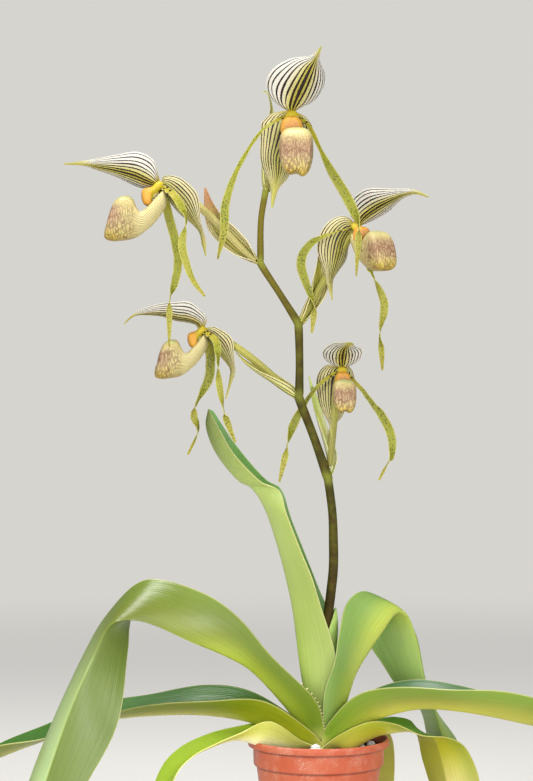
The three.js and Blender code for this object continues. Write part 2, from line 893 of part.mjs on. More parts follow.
// The pouch, in its own frame: x forwards, y sideways, z up, from the heart.
// Each ring lies between a lowest and a highest point and has a half width.
const POUCH_RINGS = [
  { low: [-5, -7], high: [-1.5, -2], half: 3.5 },
  { low: [-6, -15], high: [2, -6], half: 7.2 },
  { low: [-1, -24], high: [9, -12], half: 9.2 },
  { low: [6, -33], high: [15, -15], half: 11 },
  { low: [17, -42], high: [21, -13], half: 12.6 },
  { low: [30, -47.5], high: [27, -10.8], half: 13.4 },
  { low: [40, -47.5], high: [34, -12], half: 12.5 },
  { low: [44.5, -44.5], high: [39, -17], half: 10 },
  { low: [45, -39], high: [42.5, -27], half: 5 },
];
const POUCH_SIDES = 12;
// Side outline of what is cut away above the claw to open the pouch's mouth.
const MOUTH = [[-14, 12], [-5.5, -3.5], [8.5, -15.5], [17.5, -22.5], [19.5, -18], [23, -12.5], [26, 12]];
const MOUTH_HALF_WIDTH = 20;
// The column with its shield, as upright rings of a centre, a half width and a half height.
const COLUMN_RINGS = [
  { x: -2.4, z: -0.6, half: 2.2, tall: 2.2 },
  { x: 4, z: -2, half: 3.6, tall: 3.2 },
  { x: 8, z: -5.5, half: 7.5, tall: 6 },
  { x: 11, z: -8.5, half: 9, tall: 7.4 },
  { x: 14, z: -9.8, half: 7.6, tall: 6.6 },
  { x: 16, z: -10.5, half: 4, tall: 3.6 },
];
const COLUMN_SIDES = 10;

// The place of a flower's own frame in the plant.
function flowerFrame({ heart, azimuth, tilt, size }) {
  const turn = new THREE.Matrix4().makeRotationZ(THREE.MathUtils.degToRad(azimuth));
  const lift = new THREE.Matrix4().makeRotationY(THREE.MathUtils.degToRad(-tilt));
  return new THREE.Matrix4()
    .makeTranslation(...heart)
    .multiply(turn)
    .multiply(lift)
    .multiply(new THREE.Matrix4().makeScale(size, size, size));
}

// An oval ring between two points of the side view.
function pouchRing({ low, high, half }, inset) {
  const middle = [(low[0] + high[0]) / 2, (low[1] + high[1]) / 2];
  const reach = [(high[0] - low[0]) / 2, (high[1] - low[1]) / 2];
  const shrink = 1 - inset / Math.hypot(...reach);
  const ring = [];
  for (let j = 0; j < POUCH_SIDES; j += 1) {
    const angle = (2 * Math.PI * j) / POUCH_SIDES;
    const up = Math.cos(angle) * shrink;
    const side = Math.sin(angle) * (half - inset);
    ring.push(new THREE.Vector3(middle[0] + reach[0] * up, side, middle[1] + reach[1] * up));
  }
  return ring;
}

function pouchLoft(inset, rings = POUCH_RINGS) {
  return loft(rings.map((ring) => pouchRing(ring, inset)));
}

function pouch(flower, ease = 0) {
  const place = flowerFrame(flower).toArray();
  if (ease) return pouchLoft(-ease / flower.size).transform(place);
  const wall = POUCH_WALL / flower.size;
  const side = new THREE.Shape(MOUTH.map(([x, z]) => new THREE.Vector2(x, z)));
  const cut = new THREE.ExtrudeGeometry(side, { depth: 2 * MOUTH_HALF_WIDTH, bevelEnabled: false });
  const mouth = solid(cut.rotateX(Math.PI / 2).translate(0, MOUTH_HALF_WIDTH, 0));
  const room = pouchLoft(wall, POUCH_RINGS.slice(1, -1));
  return pouchLoft(0).subtract(room).subtract(mouth).transform(place);
}

function column(flower, ease = 0) {
  const extra = ease / flower.size;
  const rings = COLUMN_RINGS.map(({ x, z, half, tall }, i) => {
    const push = i === 0 ? -extra : i === COLUMN_RINGS.length - 1 ? extra : 0;
    const ring = [];
    for (let j = 0; j < COLUMN_SIDES; j += 1) {
      const angle = (2 * Math.PI * j) / COLUMN_SIDES;
      ring.push(
        new THREE.Vector3(x + push, (half + extra) * Math.sin(angle), z + (tall + extra) * Math.cos(angle)),
      );
    }
    return ring;
  });
  return loft(rings).transform(flowerFrame(flower).toArray());
}

// Flower stem: one zigzag axis with a slight swelling at each node.
const STEM = {
  points: [
    [3.8, 1, 103.8], [4.5, 1, 130], [6, 1, 171], [7.4, 1, 202], [10.4, 0, 228], [12.6, 0, 250], [12.6, 0, 273],
    [11.7, 0, 297], [8.1, 0, 325], [7, 0, 329], [-4, 0, 361], [-16.5, 0, 394], [-16.4, 0, 400], [-16.2, 0, 426],
    [-17, 0, 455], [-18.6, 0, 460], [-33, 0, 483], [-49, 0, 508], [-49.4, 0, 514], [-49, 0, 545], [-45, 0, 571],
  ],
  radii: [
    3.6, 3.8, 4, 4.1, 4.1, 4, 3.9, 3.6, 3.7, 4.1, 3.6, 3.9, 3.7, 3.3, 3.6, 3.5, 2.8, 3.1, 2.9, 2.6, 2.8,
  ],
  sides: 8,
  steps: 34,
};

// Pot
function pot() {
  const lipBottom = POT.height - POT.lipHeight;
  const collarBottom = lipBottom - POT.collarHeight;
  const outline = [
    [0, 0],
    [POT.baseRadius - 1, 0],
    [POT.baseRadius, 1.2],
    [POT.bodyTopRadius, collarBottom - 1],
    [POT.collarRadius - 0.6, collarBottom + 0.4],
    [POT.collarRadius, lipBottom],
    [POT.rimRadius - 0.5, lipBottom],
    [POT.rimRadius, lipBottom + 0.8],
    [POT.rimRadius, POT.height - 0.8],
    [POT.rimRadius - 0.9, POT.height],
    [POT.rimRadius - 2.4, POT.height],
    [POT.collarRadius - POT.wall, lipBottom - 1],
    [POT.collarRadius - POT.wall - 0.4, collarBottom + 1],
    [POT.bodyTopRadius - POT.wall, collarBottom - 1.6],
    [POT.baseRadius - POT.wall, 2.2],
    [0, 2.2],
  ];
  let shell = solid(turned(outline, POT.sides));
  for (let i = 0; i < POT.drains; i += 1) {
    const angle = (2 * Math.PI * i) / POT.drains;
    const drain = new THREE.CylinderGeometry(POT.drainRadius, POT.drainRadius, 8, 10)
      .rotateX(Math.PI / 2)
      .translate(POT.drainCircle * Math.cos(angle), POT.drainCircle * Math.sin(angle), 1);
    shell = shell.subtract(solid(drain));
  }
  return shell;
}

// Height of the lumps and hollows of the bark's top at a place.
function barkRelief(x, y) {
  const mound = 1.6 * Math.exp(-(((Math.hypot(x, y) - 18) / 16) ** 2));
  const lumps = 0.8 * Math.sin(x * 0.55 + 1.3) * Math.cos(y * 0.61) + 0.5 * Math.sin(x * 1.1 + y * 0.9);
  return mound + lumps - 0.6;
}

function pottingBark() {
  const inner = POT.bodyTopRadius - POT.wall - GAP;
  const hole = CROWN.radius + GAP;
  const outline = [
    [0, 2.2 + GAP],
    [POT.baseRadius - POT.wall - GAP - 0.3, 2.2 + GAP],
    [inner - 0.5, POT.height - POT.lipHeight - POT.collarHeight - 3],
    [inner + 1.8, POT.height - POT.lipHeight - POT.collarHeight + 2],
    [inner + 2.2, MEDIUM_TOP - 2],
    [inner + 1.2, MEDIUM_TOP],
    [44, MEDIUM_TOP],
    [34, MEDIUM_TOP],
    [25, MEDIUM_TOP],
    [hole + 1.8, MEDIUM_TOP],
    [hole, CROWN.shoulder - 1.5],
    [10 + GAP, CROWN.bottom - GAP],
    [0, CROWN.bottom - GAP],
  ];
  const geometry = turned(outline, 26);
  const position = geometry.attributes.position;
  for (let i = 0; i < position.count; i += 1) {
    const [x, y, z] = [position.getX(i), position.getY(i), position.getZ(i)];
    const onTop = Math.abs(z - MEDIUM_TOP) < 0.1;
    if (onTop) position.setZ(i, z + barkRelief(x, y));
    if (Math.hypot(x, y) < hole + 2) position.setX(i, x + CROWN.x);
  }
  return solid(geometry);
}

function crown(ease = 0) {
  const outline = [
    [0, CROWN.bottom],
    [10, CROWN.bottom],
    [CROWN.radius + ease, CROWN.shoulder - 1.5],
    [CROWN.radius + ease, CROWN.shoulder + ease / 2],
    [CROWN.neck + ease / 2, CROWN.top + ease],
    [0, CROWN.top + ease],
  ];
  return solid(turned(outline, 20).translate(CROWN.x, 0, 0));
}

// Perlite lumps in the bark: place, radius and height of the centre above the bark.
const PERLITE = [
  [-3.6, -25, 4.3, 3.4],
  [45, 12, 3.4, 1.8],
  [37, 7, 2.2, 1],
  [-38, 20, 2.8, 1.2],
  [-14, 42, 3.2, 1.4],
  [24, -41, 2.6, 1.2],
];

function perlite([x, y, radius, rise], number) {
  const lump = new THREE.IcosahedronGeometry(radius, 1);
  const position = lump.attributes.position;
  for (let i = 0; i < position.count; i += 1) {
    const p = new THREE.Vector3().fromBufferAttribute(position, i);
    const bump = 1 + 0.13 * Math.sin(p.x * 2.3 + number) * Math.cos(p.y * 1.9 - number) + 0.08 * Math.sin(p.z * 3);
    position.setXYZ(i, p.x * bump, p.y * bump * 0.9, p.z * bump * 0.95);
  }
  return solid(lump.translate(x, y, MEDIUM_TOP + barkRelief(x, y) + rise));
}

// Assembly
const plant = new THREE.Group();
plant.name = "potted_slipper_orchid";

// Adds a piece, cut back to leave a gap to every listed piece, and keeps its largest body.
function add(group, name, make, material, clearOf = []) {
  let shape = make(0);
  for (const other of clearOf) shape = shape.subtract(other(GAP));
  const bodies = shape.decompose();
  shape = bodies.reduce((best, each) => (each.volume() > best.volume() ? each : best));
  const mesh = shape.getMesh();
  const geometry = new THREE.BufferGeometry();
  const corners = mesh.vertProperties;
  geometry.setAttribute("position", new THREE.Float32BufferAttribute(corners, 3));
  geometry.setIndex(new THREE.BufferAttribute(mesh.triVerts, 1));
  geometry.computeVertexNormals();
  const node = new THREE.Mesh(geometry, new THREE.MeshStandardMaterial(material));
  node.name = name;
  group.add(node);
}

const holder = new THREE.Group();
holder.name = "holder";
plant.add(holder);
add(holder, "pot", pot, { color: COLOUR.pot, roughness: 0.55 });
add(holder, "potting_bark", pottingBark, { color: COLOUR.bark, roughness: 0.95 });
const bark = (ease) => pottingBark().translate(0, 0, ease);
PERLITE.forEach((lump, i) => {
  add(holder, `perlite_${i + 1}`, () => perlite(lump, i), { color: COLOUR.perlite, roughness: 0.9 }, [bark]);
});

const foliage = new THREE.Group();
foliage.name = "foliage";
plant.add(foliage);
add(foliage, "crown", crown, { color: COLOUR.crown, roughness: 0.7 });
const stem = (ease) => rod(STEM.points, STEM.radii, STEM.sides, STEM.steps, ease);
const grown = [stem, crown];
for (const [name, spec] of Object.entries(LEAVES)) {
  const make = (ease) => leaf(spec, ease);
  add(foliage, name, make, { color: COLOUR.leaf, roughness: 0.45 }, grown);
  grown.push(make);
}

const inflorescence = new THREE.Group();
inflorescence.name = "inflorescence";
plant.add(inflorescence);
add(inflorescence, "flower_stem", stem, { color: COLOUR.stem, roughness: 0.7 });

FLOWERS.forEach((flower, i) => {
  const number = i + 1;
  const group = new THREE.Group();
  group.name = `flower_${number}`;
  inflorescence.add(group);
  const sepal = (spec) => (ease) =>
    strip(
      { ...spec, origin: flower.heart, curl: SEPAL_CURL, across: 4, steps: 9, thickness: SEPAL_THICKNESS },
      ease,
    );
  const petal = (spec) => (ease) =>
    strip(
      { ...spec, origin: flower.heart, curl: PETAL_CURL, across: 2, steps: 13, thickness: PETAL_THICKNESS },
      ease,
    );
  const pieces = [
    ["ovary", (ease) => rod(flower.ovary, [2.4, 3, 3.3, 3.2, 2.9, 2.6], 8, 6, ease), COLOUR.ovary, 0.6],
    ["column", (ease) => column(flower, ease), COLOUR.shield, 0.45],
    ["pouch", (ease) => pouch(flower, ease), COLOUR.pouch, 0.4],
    ["dorsal_sepal", sepal(flower.dorsal), COLOUR.sepal, 0.55],
    ["petal_left", petal(flower.left), COLOUR.petal, 0.5],
    ["petal_right", petal(flower.right), COLOUR.petal, 0.5],
    ["synsepal", sepal(flower.synsepal), COLOUR.sepal, 0.55],
    [
      "bract",
      (ease) =>
        strip(
          {
            ...flower.bract,
            origin: flower.heart,
            curl: BRACT_CURL,
            across: 4,
            steps: 8,
            thickness: BRACT_THICKNESS,
          },
          ease,
        ),
      COLOUR.bract,
      0.55,
    ],
  ];
  const near = [stem];
  for (const [kind, make, color, roughness] of pieces) {
    add(group, `${kind}_${number}`, make, { color, roughness }, near);
    near.push(make);
  }
});

export default plant;
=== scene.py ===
# %% [markdown]
# # A slipper orchid in its pot
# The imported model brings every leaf, sepal, petal and pouch as a plain faceted solid, in metres, with +Z up
# and the viewer at -Y. This lesson loads it as a fixed frame and then makes a finer piece for each solid:
# folded leaves with soft keels, striped sepals, twisted speckled petals, netted pouches and a dusty pot.

# %% Load the frame
import math
import random

import bpy
import numpy as np
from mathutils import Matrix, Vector


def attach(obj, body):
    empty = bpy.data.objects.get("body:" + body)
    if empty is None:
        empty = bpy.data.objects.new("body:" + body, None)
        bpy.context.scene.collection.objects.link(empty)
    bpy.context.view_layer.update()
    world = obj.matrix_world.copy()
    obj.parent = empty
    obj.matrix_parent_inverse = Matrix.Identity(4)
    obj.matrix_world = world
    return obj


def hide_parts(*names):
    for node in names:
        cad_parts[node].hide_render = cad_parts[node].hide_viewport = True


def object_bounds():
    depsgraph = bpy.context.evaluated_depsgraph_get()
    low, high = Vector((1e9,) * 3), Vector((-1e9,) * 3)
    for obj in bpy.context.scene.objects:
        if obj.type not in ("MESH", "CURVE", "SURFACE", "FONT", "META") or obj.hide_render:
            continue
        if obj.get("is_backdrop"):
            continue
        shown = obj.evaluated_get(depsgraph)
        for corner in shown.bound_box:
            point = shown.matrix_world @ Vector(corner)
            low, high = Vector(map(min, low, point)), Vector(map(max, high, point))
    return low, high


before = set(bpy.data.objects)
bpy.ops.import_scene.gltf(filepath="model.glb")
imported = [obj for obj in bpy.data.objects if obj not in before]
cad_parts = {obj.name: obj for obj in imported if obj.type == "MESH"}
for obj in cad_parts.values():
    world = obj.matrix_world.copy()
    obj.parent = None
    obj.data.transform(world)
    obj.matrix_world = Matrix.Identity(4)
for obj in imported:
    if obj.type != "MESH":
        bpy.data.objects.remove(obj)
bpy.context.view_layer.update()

MM = 0.001
random.seed(7)
print("frame nodes:", len(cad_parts))


# %% [markdown]
# Flat blades start as a grid, and round pieces as a grid that is rolled up and merged along its seam. A grid
# brings a UV map with it, across the piece in U and along it in V, and the stripes and veins follow that map.
# Modelling each blade by extruding edges would also work, but the sheets here follow curves in space, so the
# grid's vertices are placed on those curves instead.

# %% Helpers for selecting, placing and finishing
CREASE = math.radians(60)


def pick(piece, *others):
    """Selects these pieces alone, the first one active, so that an operator acts on nothing else."""
    bpy.ops.object.select_all(action="DESELECT")
    for one in (piece, *others):
        one.select_set(True)
    bpy.context.view_layer.objects.active = piece


def in_edit_mode(piece, *steps):
    """Runs the steps in edit mode with all of the piece selected."""
    pick(piece)
    bpy.ops.object.mode_set(mode="EDIT")
    bpy.ops.mesh.select_all(action="SELECT")
    for step in steps:
        step()
    bpy.ops.object.mode_set(mode="OBJECT")


def apply_modifier(piece, kind, **settings):
    """Adds a modifier with these settings and applies it."""
    pick(piece)
    modifier = piece.modifiers.new(kind.title(), kind)
    for key, value in settings.items():
        setattr(modifier, key, value)
    bpy.ops.object.modifier_apply(modifier=modifier.name)


def own_copy(piece):
    """A copy that has a mesh of its own."""
    twin = piece.copy()
    twin.data = piece.data.copy()
    bpy.context.collection.objects.link(twin)
    return twin


def join_to(piece, others):
    """Makes the others part of the piece."""
    pick(piece, *others)
    bpy.ops.object.join()


def vertex_places(piece):
    """Where the vertices of a piece are, one row each."""
    flat = np.zeros(len(piece.data.vertices) * 3)
    piece.data.vertices.foreach_get("co", flat)
    return flat.reshape(-1, 3)


def placed_grid(name, across, along, place):
    """A grid whose vertices go where place(u, v) says: u is -1 to 1 across, v is 0 to 1 along, in mm."""
    bpy.ops.mesh.primitive_grid_add(x_subdivisions=across, y_subdivisions=along, size=2)
    piece = bpy.context.active_object
    piece.name = name
    flat = vertex_places(piece)
    points = place(flat[:, 0], (flat[:, 1] + 1) / 2) * MM
    piece.data.vertices.foreach_set("co", points.ravel())
    piece.data.update()
    return piece


def coat(piece, *finishes):
    """Gives a piece its finishes, the first one on all of its faces."""
    for finish in finishes:
        piece.data.materials.append(finish)


def finished(piece, solid):
    """Shades the piece, lets it ride on the plant and stand for its solid."""
    pick(piece)
    bpy.ops.object.shade_smooth_by_angle(angle=CREASE)
    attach(piece, "root")
    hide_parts(solid)
    print(piece.name, "faces:", len(piece.data.polygons))


# %% Helpers for curves through points
def curve(points, t):
    """Points of a smooth curve through the given ones; point i is reached at i / (count - 1)."""
    given = np.asarray(points, float)
    if given.ndim == 1:
        return curve(given[:, None], t)[:, 0]
    padded = np.vstack([2 * given[0] - given[1], given, 2 * given[-1] - given[-2]])
    place = np.clip(t, 0, 1) * (len(given) - 1)
    i = np.minimum(place.astype(int), len(given) - 2)
    w = (place - i)[:, None]
    a, b, c, d = padded[i], padded[i + 1], padded[i + 2], padded[i + 3]
    return 0.5 * (2 * b + (c - a) * w + (2 * a - 5 * b + 4 * c - d) * w**2 + (3 * b - a - 3 * c + d) * w**3)


def direction(points, t):
    """Unit tangents of the curve through the points."""
    step = 1e-4
    change = curve(points, np.minimum(t + step, 1)) - curve(points, np.maximum(t - step, 0))
    return unit(change)


def unit(vectors):
    """The same vectors at length 1."""
    return vectors / np.maximum(np.linalg.norm(vectors, axis=-1, keepdims=True), 1e-9)


def dot(a, b):
    """How far each row of a reaches along the same row of b."""
    return np.sum(a * b, axis=-1, keepdims=True)


# %% [markdown]
# A finish is a colour, a roughness and a relief that change over the surface. The parts of it that several
# finishes share are node groups, which put out only colours and values, and each material holds its own
# shader. Painting the colours by hand on an image would also work, but a picture would have to be stored,
# and nodes stay sharp at any distance.

# %% Helpers for placing nodes
# The node tree that new nodes go into.
canvas = {}


def srgb(red, green, blue):
    """A colour as a screen shows it, 0 to 255 a channel, in the linear values that sockets take."""
    shares = [channel / 255 for channel in (red, green, blue)]
    return (*[s / 12.92 if s <= 0.04045 else ((s + 0.055) / 1.055) ** 2.4 for s in shares], 1.0)


def feed(socket, value):
    """Links a socket to another one, or sets its own value."""
    if isinstance(value, bpy.types.NodeSocket):
        canvas["tree"].links.new(value, socket)
    else:
        socket.default_value = value


def node(kind, settings=(), **inputs):
    """A new shader node on the canvas, with its settings made and its inputs fed."""
    made = canvas["tree"].nodes.new("ShaderNode" + kind)
    for key, value in dict(settings).items():
        setattr(made, key, value)
    for name, value in inputs.items():
        feed(made.inputs[name.replace("_", " ")], value)
    return made


def calc(operation, *values, clamp=False):
    """One step of arithmetic on the surface."""
    made = node("Math", {"operation": operation, "use_clamp": clamp})
    for socket, value in zip(made.inputs, values):
        feed(socket, value)
    return made.outputs[0]


def times(first, *others):
    """All the values multiplied."""
    for value in others:
        first = calc("MULTIPLY", first, value)
    return first


def plus(first, second):
    return calc("ADD", first, second)


def minus(first, second):
    return calc("SUBTRACT", first, second)


def off(value, middle):
    """How far a value is from a middle one, to either side."""
    return calc("ABSOLUTE", minus(value, middle))


def swing(value, size):
    """Turns 0 to 1 into a swing of this size about zero."""
    return times(minus(value, 0.5), size)


def weighted(first, *others):
    """Adds up pairs of a value and its weight."""
    total = times(*first)
    for value, weight in others:
        total = plus(total, times(value, weight))
    return total


def ramp(value, low, high, to_low=0.0, to_high=1.0):
    """A smooth change from to_low at low to to_high at high."""
    made = node(
        "MapRange", {"interpolation_type": "SMOOTHSTEP"},
        Value=value, From_Min=low, From_Max=high, To_Min=to_low, To_Max=to_high,
    )
    return made.outputs["Result"]


def fall(value, low, high):
    """A smooth change from 1 at low to 0 at high."""
    return ramp(value, low, high, 1.0, 0.0)


def coats(colour, *layers):
    """A ground colour under layers, each a share from 0 to 1 and the colour that it lays on."""
    for share, paint in layers:
        mix = node("Mix", {"data_type": "RGBA"})
        for socket, value in zip((mix.inputs[0], mix.inputs[6], mix.inputs[7]), (share, colour, paint)):
            feed(socket, value)
        colour = mix.outputs[2]
    return colour


# %% Helpers for patterns
def across_and_along(uv_map="UVMap"):
    """The two directions of a piece's UV map."""
    uv = node("UVMap", {"uv_map": uv_map})
    parts = node("SeparateXYZ", Vector=uv.outputs["UV"])
    return parts.outputs["X"], parts.outputs["Y"]


def own_space():
    """The place on the surface in the object's own space, in metres."""
    return node("TexCoord").outputs["Object"]


def grain(scale, detail=3.0, stretch=(1, 1, 1)):
    """Soft noise in the object's own space, from 0 to 1; stretch squeezes it along an axis."""
    squeezed = node("Mapping", Vector=own_space(), Scale=stretch)
    noise = node("TexNoise", Vector=squeezed.outputs["Vector"], Scale=scale, Detail=detail)
    return noise.outputs["Fac"]


def spread(u, v, across, along):
    """A place on the UV map with so many units across and along."""
    return node("CombineXYZ", X=times(u, across), Y=times(v, along)).outputs["Vector"]


def flat_cells(u, v, across, along):
    """Cells on the UV map, so many across and along."""
    return node("TexVoronoi", {"voronoi_dimensions": "2D"}, Vector=spread(u, v, across, along), Scale=1.0)


def cell_share(cells, channel):
    """A random share from 0 to 1 for each cell, out of one channel of its colour."""
    return node("SeparateColor", Color=cells.outputs["Color"]).outputs[channel]


def lit(colour, value):
    """The colour made lighter or darker by a factor."""
    return node("HueSaturation", Color=colour, Value=value).outputs["Color"]


def bands(level, heights, low, high, colour):
    """Layers for coats that ring a piece at these heights, in mm, each with its share."""
    return [(ramp(off(level, height * MM), low, high, share, 0.0), colour) for height, share in heights]


# %% Helpers for groups and materials
def new_group(name, inputs, outputs=("Color", "Roughness", "Height")):
    """An empty node group; a tuple makes a colour input and a number makes a value input."""
    tree = bpy.data.node_groups.new(name, "ShaderNodeTree")
    for label, value in inputs.items():
        kind = "NodeSocketColor" if isinstance(value, tuple) else "NodeSocketFloat"
        tree.interface.new_socket(name=label, in_out="INPUT", socket_type=kind).default_value = value
    for label in outputs:
        kind = "NodeSocketColor" if label == "Color" else "NodeSocketFloat"
        tree.interface.new_socket(name=label, in_out="OUTPUT", socket_type=kind)
    canvas["tree"] = tree
    return tree.nodes.new("NodeGroupInput").outputs


def close_group(**results):
    """Leads the results out of the group."""
    tree = canvas["tree"]
    way_out = tree.nodes.new("NodeGroupOutput")
    for label, value in results.items():
        feed(way_out.inputs[label], value)
    print("node group", tree.name, "nodes:", len(tree.nodes))


def use_group(name, **values):
    """Places a node group and gives it its values."""
    made = canvas["tree"].nodes.new("ShaderNodeGroup")
    made.node_tree = bpy.data.node_groups[name]
    for label, value in values.items():
        feed(made.inputs[label.replace("_", " ")], value)
    return made.outputs


def plain_material(name):
    """A material with nothing but its shader, as the new canvas, and the shader's inputs."""
    material = bpy.data.materials.new(name)
    material.use_nodes = True
    canvas["tree"] = material.node_tree
    return material, material.node_tree.nodes["Principled BSDF"].inputs


def new_material(name, group, values=(), relief=0.0003, **shader_values):
    """A material whose colour, roughness and relief come out of a node group."""
    material, inputs = plain_material(name)
    results = use_group(group, **dict(values))
    feed(inputs["Base Color"], results["Color"])
    if "Roughness" in results:
        feed(inputs["Roughness"], results["Roughness"])
    bump = node("Bump", Strength=1.0, Distance=relief, Height=results["Height"])
    feed(inputs["Normal"], bump.outputs["Normal"])
    for label, value in shader_values.items():
        inputs[label.replace("_", " ")].default_value = value
    return material


# %% [markdown]
# Leaves, sepals, petals and bracts all have veins that run from base to tip. On the real plant they are
# fine sunken lines, a little darker than the tissue between them. One group draws them along the UV map.

# %% Node group for lengthwise veins
given = new_group("lengthwise_veins", {"Count": 24.0, "Wander": 0.25}, ("Line", "Rank"))
u, v = across_and_along()
drift = node("TexNoise", {"noise_dimensions": "2D"}, Vector=spread(u, v, 9.0, 2.5), Scale=1.0, Detail=1.0)
wander = swing(drift.outputs["Fac"], given["Wander"])
lanes = plus(times(u, given["Count"]), times(wander, 4.0))
line = minus(1.0, times(off(calc("FRACT", lanes), 0.5), 2.0))
rank = node("TexWhiteNoise", {"noise_dimensions": "1D"}, W=calc("FLOOR", lanes))
close_group(Line=line, Rank=rank.outputs["Value"])


def vein_lines(count, wander, sharpness):
    """So many veins across the piece, 1 along each vein's middle."""
    return calc("POWER", use_group("lengthwise_veins", Count=count, Wander=wander)["Line"], sharpness)


# %% [markdown]
# ## The leaves
# A slipper orchid's leaf is a long strap, folded along its keel, that rises from the crown and arches over.
# Its outside is a pale yellow-green and its inside a deeper, bluer green. The leaf could be bent from a
# straight strip with an armature, but each one here turns over in its own way, so it is set across three
# lines instead: the keel, the near margin and the far margin.

